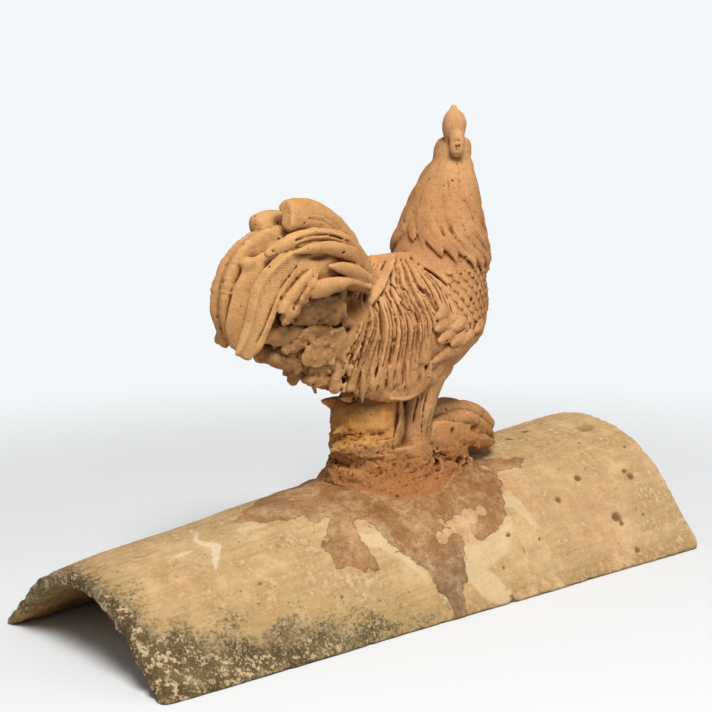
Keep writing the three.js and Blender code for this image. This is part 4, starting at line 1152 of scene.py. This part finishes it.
# ---------------------------------------------------------------------------
# Legs, feet and rock: thick feathered legs scored down their length, scaly toes
# that curl over a spur, and a rough stump of torn red clay luted to the tile.
# ---------------------------------------------------------------------------
for side in (RIGHT, LEFT):
    lock([(45, side * 22, 176), (37, side * 20, 148), (31.5, side * 18, 128), (29, side * 18, 108), (27, side * 16, 70)],
         [19, 15, 11.8, 11, 14], [17, 14, 12, 11.5, 13], (0.25, side, 0), 3.0)
    for k in range(9):
        t = k / 8
        turn = math.radians(mix(-62, 78, t))
        path = [(36 - 15.0 * math.sin(turn), side * (20 + 13.5 * math.cos(turn)), 152),
                (32.5 - 12.4 * math.sin(turn), side * (18.5 + 12.4 * math.cos(turn)), 134),
                (29.5 - 11.2 * math.sin(turn), side * (18 + 11.4 * math.cos(turn)), 114),
                (28 - 12.0 * math.sin(turn), side * (17.5 + 12 * math.cos(turn)), 98)]
        lock(path, [1.4, 2.0 + 0.9 * (k % 3 == 1), 2.4, 1.4], [0.8, 1.2 + 0.5 * (k % 2), 1.4, 1.0],
             (-math.sin(turn), side * math.cos(turn), 0), 0.7, lines=0.9, pitch=1.2, steps=9)
    for t0, top, foot in ((0.18, 140, 110), (0.42, 134, 104), (0.60, 142, 112), (0.80, 138, 116)):
        turn = math.radians(mix(-62, 78, t0))
        out = (-math.sin(turn), side * math.cos(turn), 0)
        lock([(35 + 15 * out[0], side * 19 + 14 * out[1], top), (31.5 + 13 * out[0], side * 18 + 13 * out[1], mix(top, foot, 0.5)),
              (30 + 13 * out[0], side * 18 + 12.6 * out[1], foot)], [0.4, 0.8, 0.4], [1.0, 1.9, 1.0], out, 0.8,
             take=True, steps=8)
upright([(50, 22, 0, 58, 49), (66, 22, 0, 54.5, 45.5), (75, 22, 0, 52, 41), (83, 22, 0, 50, 38),
         (94, 20, 0, 46, 34.5), (104, 16, 0, 41, 31)], 4, 0.018, 2)
upright([(86, 3, 0, 30, 29), (96, 1, 0, 30, 28), (103, -2, 0, 28.5, 27), (110, -2, 0, 27.5, 26.5), (115, -1, 0, 26.5, 26),
         (121, -2, 0, 28, 27), (128, -1, 0, 27.5, 26.5), (135, 1, 0, 26, 25.5), (140, 4, 0, 22.5, 24.5), (156, 8, 0, 19, 22),
         (168, 8, 0, 19, 22)], 1.5, 0.02, 4)
upright([(60, 58, 0, 34, 41), (76, 58, 0, 30.5, 37), (84, 57, 0, 28, 34), (96, 54, 0, 24, 29), (105, 52, 0, 17, 20)],
        3, 0.025, 8)
# The clay spread at its foot, where it was luted down.
upright([(56, 19, 0, 64, 54), (72, 19, 0, 59, 48), (79, 18, 0, 55, 43), (85, 16, 0, 51, 37), (92, 12, 0, 45, 32)],
        4, 0.015, 6)
# Points of torn clay along the back of the stump.
for path, wide in (([(-8, -2, 139), (-18, -3, 140), (-31, -4, 141.5)], [6, 4.5, 0.6]),
                   ([(-20, -2, 104.5), (-33, -3, 106), (-42, -4, 104.5)], [8, 4.5, 0.6]),
                   ([(-22, -4, 119), (-33, -5, 119), (-39, -6, 118)], [6, 3, 0.5]),
                   ([(-20, 14, 134), (-31, 16, 137)], [6, 1])):
    lock(path, wide, wide, (0, 1, 0), 1.2, steps=7)
# The lower edge of saddle and thigh, a soft lip over the stump and the leg.
for side in (RIGHT, LEFT):
    lock([(-30, side * 23, 152), (-10, side * 27, 147), (8, side * 30, 146), (24, side * 32, 151), (42, side * 31, 158)],
         [6, 7, 7.5, 7.5, 6], [4, 6, 6, 5.5, 4], (0, side, -0.2), 1.8)
    for k in range(9):
        t = k / 8
        x0, y0 = mix(-32, 26, t), side * mix(29, 36.5, min(t * 1.6, 1))
        foot_z = 141.5 + 5 * max(t - 0.6, 0) / 0.4 + 1.5 * (k % 2)
        lock([(x0, y0 + side, 166), (x0 + 1, y0, 153), (x0 + 3, y0 - side * 3, foot_z)], [1.6, 2.5, 1.2],
             [1.4, 2.2, 1.2], (0, side, 0), 0.7, rib=-0.5, lines=0.8, pitch=1.2, steps=8)
    lock([(-8, side * 33, 142.5), (4, side * 34, 141.5), (13, side * 34.5, 143), (24, side * 34, 147.5)],
         [1.2, 2.0, 2.2, 1.2], [1.6, 2.4, 2.4, 1.5], (0, side, -0.3), 0.8, steps=10)
for side in (RIGHT, LEFT):
    lock([(40, side * 17, 104), (66, side * 17, 105), (90, side * 15, 103), (108, side * 14, 98)],
         [12, 12, 11, 7], [11, 10.5, 9.5, 7], (0, side, 0.3), 3.0)
# Toes: path, half widths, how high the scutes across them stand.
TOES = [([(40, 8, 114), (60, 9, 119.5), (76, 9, 118), (92, 9, 117), (106, 9, 111), (118, 9, 102)],
         [7, 6.5, 7, 8, 8, 6.5], 0.0),
        ([(44, 17, 111), (60, 18, 113), (78, 19, 114.5), (93, 18, 109), (105, 17, 101.5), (112, 16, 95)],
         [6, 6, 6.5, 6.2, 5.6, 4.6], 0.5)]
for side in (RIGHT, LEFT):
    for path, size, wave in TOES:
        path = [(px, side * py, pz) for px, py, pz in path]
        lock(path, size, size, (0.2, side * 0.6, 0.75), 1.2, wave=wave, lines=1.6, slant=8, pitch=17.6, steps=22)
    # The lowest toe: a thick lip of clay that runs down and out over the rock.
    lock([(54, side * 24, 107), (66, side * 25.5, 104), (79, side * 26, 97.5), (92, side * 25, 94.5),
          (103, side * 23, 92.5), (110, side * 21, 91)], [6, 8, 8, 6.5, 5, 2.5], [5, 6, 6.5, 6, 5, 3],
         (0.1, side, 0.4), 1.2, rib=0.8, rib_at=0.2, rib_wide=1.6)
    # The smooth web between leg and toes, and the strands of clay that hold it.
    lock([(42, side * 26, 112), (54, side * 27.5, 110), (66, side * 27, 108), (78, side * 25, 106)], [6, 7, 6, 4],
         [3, 3, 3, 2.4], (0.1, side, 0.1), 1.6)
    lock([(40, side * 27, 108), (52, side * 29.5, 102), (61, side * 31, 94), (67, side * 32, 86)],
         [7, 10, 9.5, 6], [2.6, 3, 3, 2.6], (0.1, side, 0.15), 1.6, cup=-0.03)
    lock([(61, side * 27, 104), (68, side * 29, 97), (74, side * 30, 88), (75, side * 31, 78), (72, side * 33, 66)],
         [2.4, 2.6, 2.6, 2.8, 3.5], [2.4, 2.6, 2.8, 3, 3], (0.1, side, 0), 1.4)
    for centre, size in (((37, 33, 90.5), (3.4, 10, 8.5)), ((36, 33, 85), (5.0, 10, 3.2)), ((40, 33, 86.5), (4.2, 9, 4.2)),
                         ((62, 33, 85.5), (3.4, 7, 4.0)), ((58, 31, 109.3), (2.2, 7, 2.6)), ((92, 22, 84), (13, 15, 4.0)),
                         ((80, 31, 89), (4, 6, 5)), ((88, 27, 106), (7, 5, 3.2))):
        ball((centre[0], side * centre[1], centre[2]), size, 0.7, take=True)
    lock([(2.5, side * 29, 136.5), (1.2, side * 29, 124), (-1.5, side * 29, 112.5)], [2.2, 2.0, 1.0], [9, 10, 7],
         (-0.7, side * 0.7, 0), 0.6, take=True)
ball((128, 0, 96), (5, 20, 12), 1.0, take=True)
ball((-31, -22, 112), (3.0, 6, 4), 0.8, take=True)
lock([(-27, -38, 94.5), (-19, -40, 95), (-10, -41, 94.2)], [0.5, 1.1, 0.5], [4, 5.5, 4], (0, -1, 0), 0.5, take=True)

# Torn, crumbling clay: layers round the stump, fading upwards on the legs.
cut, x, y, z = window((-60, -64, 50), (132, 64, 160))
part = figure[cut]
torn = np.clip((108 - z) / 12, 0, 1) * np.ones_like(part)
torn = np.maximum(torn, np.clip((4 - x) / 6, 0, 1) * np.clip((146 - z) / 6, 0, 1) * mix(0.4, 1.0, np.clip((122 - z) / 8, 0, 1)))
torn = torn * np.clip((92 - x) / 10, 0.35, 1) * np.clip((z - 66) / 16, 0.6, 1)
layered = cloud(cut, (14, 14, 4.0), 31) * 0.9 + cloud(cut, (5, 5, 3.0), 32) * 0.7
crumbs = cloud(cut, 2.0, 33) * 0.95 + cloud(cut, 9.0, 34) * 0.9
cracks = 0.9 * np.clip(1 - np.abs(cloud(cut, (11, 11, 3.6), 37)) / 0.12, 0, 1)
figure[cut] = part + torn * (layered + crumbs + cracks) * np.clip(1.5 - np.abs(part) / 6, 0, 1)
under_tail, x, y, z = window((-108, -40, 152), (-32, 40, 228))
part = figure[under_tail]
ragged = np.clip((226 - z) / 8, 0, 1) * np.clip((-34 - x) / 8, 0, 1) * np.clip((x + 106) / 12, 0, 1)
ragged = ragged * np.clip((36 - np.abs(y)) / 4, 0, 1)
figure[under_tail] = part + ragged * (cloud(under_tail, 5.5, 35) * 1.3 + cloud(under_tail, 2.6, 36) * 0.9)
whole = tuple(slice(0, n) for n in block_size)
figure += cloud(whole, 8.0, 41) * 0.45 + cloud(whole, 3.4, 42) * 0.20 + cloud(whole, 1.9, 43) * 0.14

# Pinholes and small losses all over the figure.
pin = np.random.default_rng(77)
skin = np.argwhere(np.abs(figure) < 0.45)
for k in pin.choice(len(skin), 330, replace=False):
    centre = BLOCK_LOW + skin[k] * VOXEL
    if 72 < centre[2] < 345:
        ball(centre, np.full(3, 0.75 + 0.6 * pin.random()), 0.3, take=True)

# The figure ends on the tile's crown, a hair above it.
BED_GAP = 0.3
cut, x, y, z = window((-60, -66, 52), (120, 66, 100))
_, high, radius, angle = tile_section(x.astype(float))
gone = np.minimum(np.abs(y), radius * np.sin(angle))
crown = high - radius + np.sqrt(radius ** 2 - gone ** 2) - np.maximum(np.abs(y) - gone, 0) * np.tan(angle)
figure[cut] = np.maximum(figure[cut], ((crown + 0.7 + BED_GAP - z) * np.cos(angle * 0.6)).astype(np.float32))

# The finished skin, as one closed mesh.
MOST_FACES = 192000
field = openvdb.FloatGrid(9.0)
field.copyFromArray(figure.astype(np.float32), tolerance=0.0)
skin_points, skin_tris, skin_quads = field.convertToPolygons(isovalue=0.0, adaptivity=0.0)


def joined_up(count, sides):
    """A label for each point, the same for all points joined by sides."""
    label = np.arange(count)
    a, b = sides.T
    while True:
        la, lb = label[a], label[b]
        apart = la != lb
        if not apart.any():
            return label
        np.minimum.at(label, np.maximum(la, lb)[apart], np.minimum(la, lb)[apart])
        while (label[label] != label).any():
            label = label[label]


# Only the figure itself is kept, not crumbs that hang free of it.
sides = np.concatenate([skin_quads[:, :2], skin_quads[:, 1:3], skin_quads[:, 2:], skin_tris[:, :2],
                        skin_tris[:, 1:]]).astype(np.int64)
label = joined_up(len(skin_points), sides)
figure_label = np.bincount(label).argmax()
skin_quads = skin_quads[label[skin_quads[:, 0]] == figure_label]
skin_tris = skin_tris[label[skin_tris[:, 0]] == figure_label] if len(skin_tris) else skin_tris
used = np.flatnonzero(label == figure_label)
renumber = np.zeros(len(skin_points), np.int64)
renumber[used] = np.arange(len(used))
skin_quads, skin_tris = renumber[skin_quads], renumber[skin_tris]
skin_points = (BLOCK_LOW + skin_points[used] * VOXEL) * MM
rough_mesh = mesh_from("rooster_rough", skin_points, skin_quads, skin_tris)
rooster = bpy.data.objects.new("clay_rooster", rough_mesh)
bpy.context.scene.collection.objects.link(rooster)
faces = 2 * len(skin_quads) + len(skin_tris)
if faces > MOST_FACES:
    thin = rooster.modifiers.new("thin", "DECIMATE")
    thin.ratio = MOST_FACES / faces
    seen = bpy.context.evaluated_depsgraph_get()
    rooster_mesh = bpy.data.meshes.new_from_object(rooster.evaluated_get(seen))
    rooster.modifiers.clear()
    rooster.data = rooster_mesh
    bpy.data.meshes.remove(rough_mesh)
rooster_mesh = rooster.data
rooster_mesh.name = "clay_rooster"
rooster_mesh.shade_smooth()


def box_mean(values, reach):
    """Each grid point's mean over a cube of that many points each way."""
    for axis in range(3):
        pad = [(reach + 1, reach) if k == axis else (0, 0) for k in range(3)]
        total = np.cumsum(np.pad(values, pad, mode="edge"), axis=axis, dtype=np.float64)
        length = values.shape[axis]
        low = np.take(total, np.arange(length), axis)
        high = np.take(total, np.arange(length) + 2 * reach + 1, axis)
        values = ((high - low) / (2 * reach + 1)).astype(np.float32)
    return values


def sample(values, at):
    """The values at places in the block, between its grid points."""
    at = np.clip(at, 0, block_size - 1.001)
    i = at.astype(int)
    f = at - i
    total = 0.0
    for dx in (0, 1):
        for dy in (0, 1):
            for dz in (0, 1):
                share = (np.abs(1 - dx - f[:, 0]) * np.abs(1 - dy - f[:, 1]) * np.abs(1 - dz - f[:, 2]))
                total = total + share * values[i[:, 0] + dx, i[:, 1] + dy, i[:, 2] + dz]
    return total


places = np.zeros(len(rooster_mesh.vertices) * 3, np.float32)
rooster_mesh.vertices.foreach_get("co", places)
places = places.reshape(-1, 3) / MM
normals = np.zeros(len(rooster_mesh.vertices) * 3, np.float32)
rooster_mesh.vertices.foreach_get("normal", normals)
normals = normals.reshape(-1, 3)
at = (places - BLOCK_LOW) / VOXEL
solid = 1 / (1 + np.exp(np.clip(figure, -4, 4) / 0.4))

def evened(values):
    """Values shifted and stretched so that most places lie near 0 and the deepest near 1."""
    middle, deep = np.percentile(values, (50, 96))
    return (values - middle) / (deep - middle)


# Crease, valley and hollow: how closely clay surrounds each point, at three reaches. The material paints shade where
# they are high and a highlight where valley is low.
paint(rooster_mesh, "crease", evened(sample(box_mean(solid, 1), at)))
paint(rooster_mesh, "valley", evened(sample(box_mean(solid, 3), at)))
paint(rooster_mesh, "hollow", evened(sample(box_mean(solid, 8), at)))
nearest = np.clip(np.round(at - normals * 0.5).astype(int), 0, block_size - 1)
i, j, k = nearest.T
paint(rooster_mesh, "barb_phase", line_phase[i, j, k])
paint(rooster_mesh, "barb_depth", line_depth[i, j, k])
paint(rooster_mesh, "height_mm", places[:, 2])
# Where the material paints shade under the tail: over the torn wall and the petals below it.
px, pz = places[:, 0], places[:, 2]
torn_wall = np.clip((1.25 - np.hypot((px + 60) / 36, (pz - 207) / 19)) / 0.5, 0, 1)
petal_part = np.clip((1.25 - np.hypot((px + 66) / 38, (pz - 180) / 28)) / 0.5, 0, 0.55)
paint(rooster_mesh, "under_tail", np.maximum(torn_wall, petal_part))

CLAY_ORANGE = (0.475, 0.228, 0.092, 1)
CLAY_PALE = (0.60, 0.335, 0.155, 1)
CLAY_DEEP = (0.35, 0.145, 0.048, 1)
CLAY_TAIL = (0.50, 0.258, 0.094, 1)
CLAY_RED = (0.36, 0.145, 0.048, 1)
# Dark brown for the painted shade and dirt in creases, and for the painted shade in the barb grooves.
SHADE_AND_DIRT_BROWN = (0.105, 0.032, 0.006, 1)
OCHRE = (0.58, 0.25, 0.055, 1)
ALGAE = (0.185, 0.150, 0.062, 1)

rooster_material, tree = new_material("rooster_clay")
where = node(tree, "ShaderNodeTexCoord").outputs["Object"]
apart = node(tree, "ShaderNodeSeparateXYZ", Vector=where).outputs
body = clay(tree, where, CLAY_ORANGE, CLAY_PALE, CLAY_DEEP, 0.5, 0.7)
colour = body["Colour"]
soft_noise = noise(tree, where, 30.0, 5.0, 0.65)
crumbly = noise(tree, where, 330.0, 5.0, 0.7)
tail_clay = clay(tree, where, CLAY_TAIL, (0.60, 0.345, 0.135, 1), (0.41, 0.21, 0.058, 1), 0.45, 0.8)["Colour"]
tail_share = maths(tree, "MULTIPLY", ramp(tree, apart["X"], 0.0, -0.07), 0.7)
colour = blend(tree, tail_share, colour, tail_clay)
low = maths(tree, "ADD", painted(tree, "height_mm"), maths(tree, "MULTIPLY", soft_noise, 34.0))
red_clay = clay(tree, where, CLAY_RED, (0.47, 0.215, 0.080, 1), (0.19, 0.070, 0.025, 1), 1.0, 0.8)["Colour"]
colour = blend(tree, ramp(tree, low, 136, 112), colour, red_clay)
ochre_share = maths(tree, "MULTIPLY", ramp(tree, apart["X"], 0.012, -0.006), ramp(tree, low, 122, 130))
ochre_share = maths(tree, "MULTIPLY", ochre_share, ramp(tree, low, 164, 152))
colour = blend(tree, maths(tree, "MULTIPLY", ochre_share, 0.75), colour, OCHRE)
green = maths(tree, "MULTIPLY", ramp(tree, low, 104, 122), ramp(tree, low, 182, 160))
green = maths(tree, "MULTIPLY", green, ramp(tree, noise(tree, where, 70.0, 5.0, 0.7), 0.46, 0.62))
colour = blend(tree, maths(tree, "MULTIPLY", green, 0.4), colour, ALGAE)
# Painted shade under the overhanging tail feathers, strongest over the torn wall.
shade_under_tail = maths(tree, "MULTIPLY", painted(tree, "under_tail"), ramp(tree, soft_noise, 0.3, 0.6, 0.45, 0.9))
colour = blend(tree, shade_under_tail, colour, (0.18, 0.080, 0.027, 1))
colour = blend(tree, ramp(tree, crumbly, 0.44, 0.30, 0, 0.55), colour, (0.26, 0.11, 0.035, 1))
colour = blend(tree, ramp(tree, crumbly, 0.57, 0.70, 0, 0.4), colour, CLAY_PALE)
# Painted shade in hollows, valleys and creases, darkest in the fine creases where dirt also lies. Crumbly noise breaks
# it up.
uneven = maths(tree, "MULTIPLY", maths(tree, "SUBTRACT", crumbly, 0.5), 1.1)
crease = maths(tree, "ADD", painted(tree, "crease"), uneven)
valley = maths(tree, "ADD", painted(tree, "valley"), maths(tree, "MULTIPLY", uneven, 0.6))
hollow = maths(tree, "ADD", painted(tree, "hollow"), maths(tree, "MULTIPLY", uneven, 0.5))
# Painted highlight on ridges and edges, where little clay lies round them.
colour = blend(tree, ramp(tree, valley, -0.25, -1.1, 0, 0.6), colour, (0.66, 0.385, 0.18, 1))
colour = blend(tree, ramp(tree, hollow, 0.35, 1.4, 0, 0.6), colour, (0.225, 0.088, 0.022, 1))
colour = blend(tree, ramp(tree, valley, 0.12, 0.95, 0, 0.85), colour, (0.190, 0.066, 0.014, 1))
colour = blend(tree, ramp(tree, crease, 0.20, 0.90, 0, 0.92), colour, SHADE_AND_DIRT_BROWN)
# Fine barbs: grooves in the bump, with painted shade along the grooves.
unsteady = maths(tree, "MULTIPLY", maths(tree, "SUBTRACT", noise(tree, where, 90.0, 3.0, 0.6), 0.5), 1.3)
barb = maths(tree, "ADD", painted(tree, "barb_phase"), unsteady)
barb = maths(tree, "SINE", maths(tree, "MULTIPLY", barb, 2 * math.pi))
barb = maths(tree, "MULTIPLY", barb, painted(tree, "barb_depth"))
barb = maths(tree, "MULTIPLY", barb, ramp(tree, noise(tree, where, 55.0, 3.0, 0.6), 0.42, 0.6, 0.0, 1.0))
colour = blend(tree, ramp(tree, barb, -0.2, -0.9, 0, 0.3), colour, SHADE_AND_DIRT_BROWN)
height = maths(tree, "ADD", body["Height"], maths(tree, "MULTIPLY", barb, 0.30))
height = maths(tree, "ADD", height, maths(tree, "MULTIPLY", crumbly, ramp(tree, low, 150, 110, 0.9, 3.2)))
bump = node(tree, "ShaderNodeBump", Strength=0.7, Distance=0.0011, Height=height)
shader = node(tree, "ShaderNodeBsdfPrincipled", Base_Color=colour, Roughness=body["Roughness"],
              Normal=bump.outputs[0])
shader.inputs["Specular IOR Level"].default_value = 0.15
tree.links.new(shader.outputs[0], tree.nodes["Material Output"].inputs["Surface"])
rooster_mesh.materials.append(rooster_material)

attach(rooster, "root")
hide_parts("rooster")
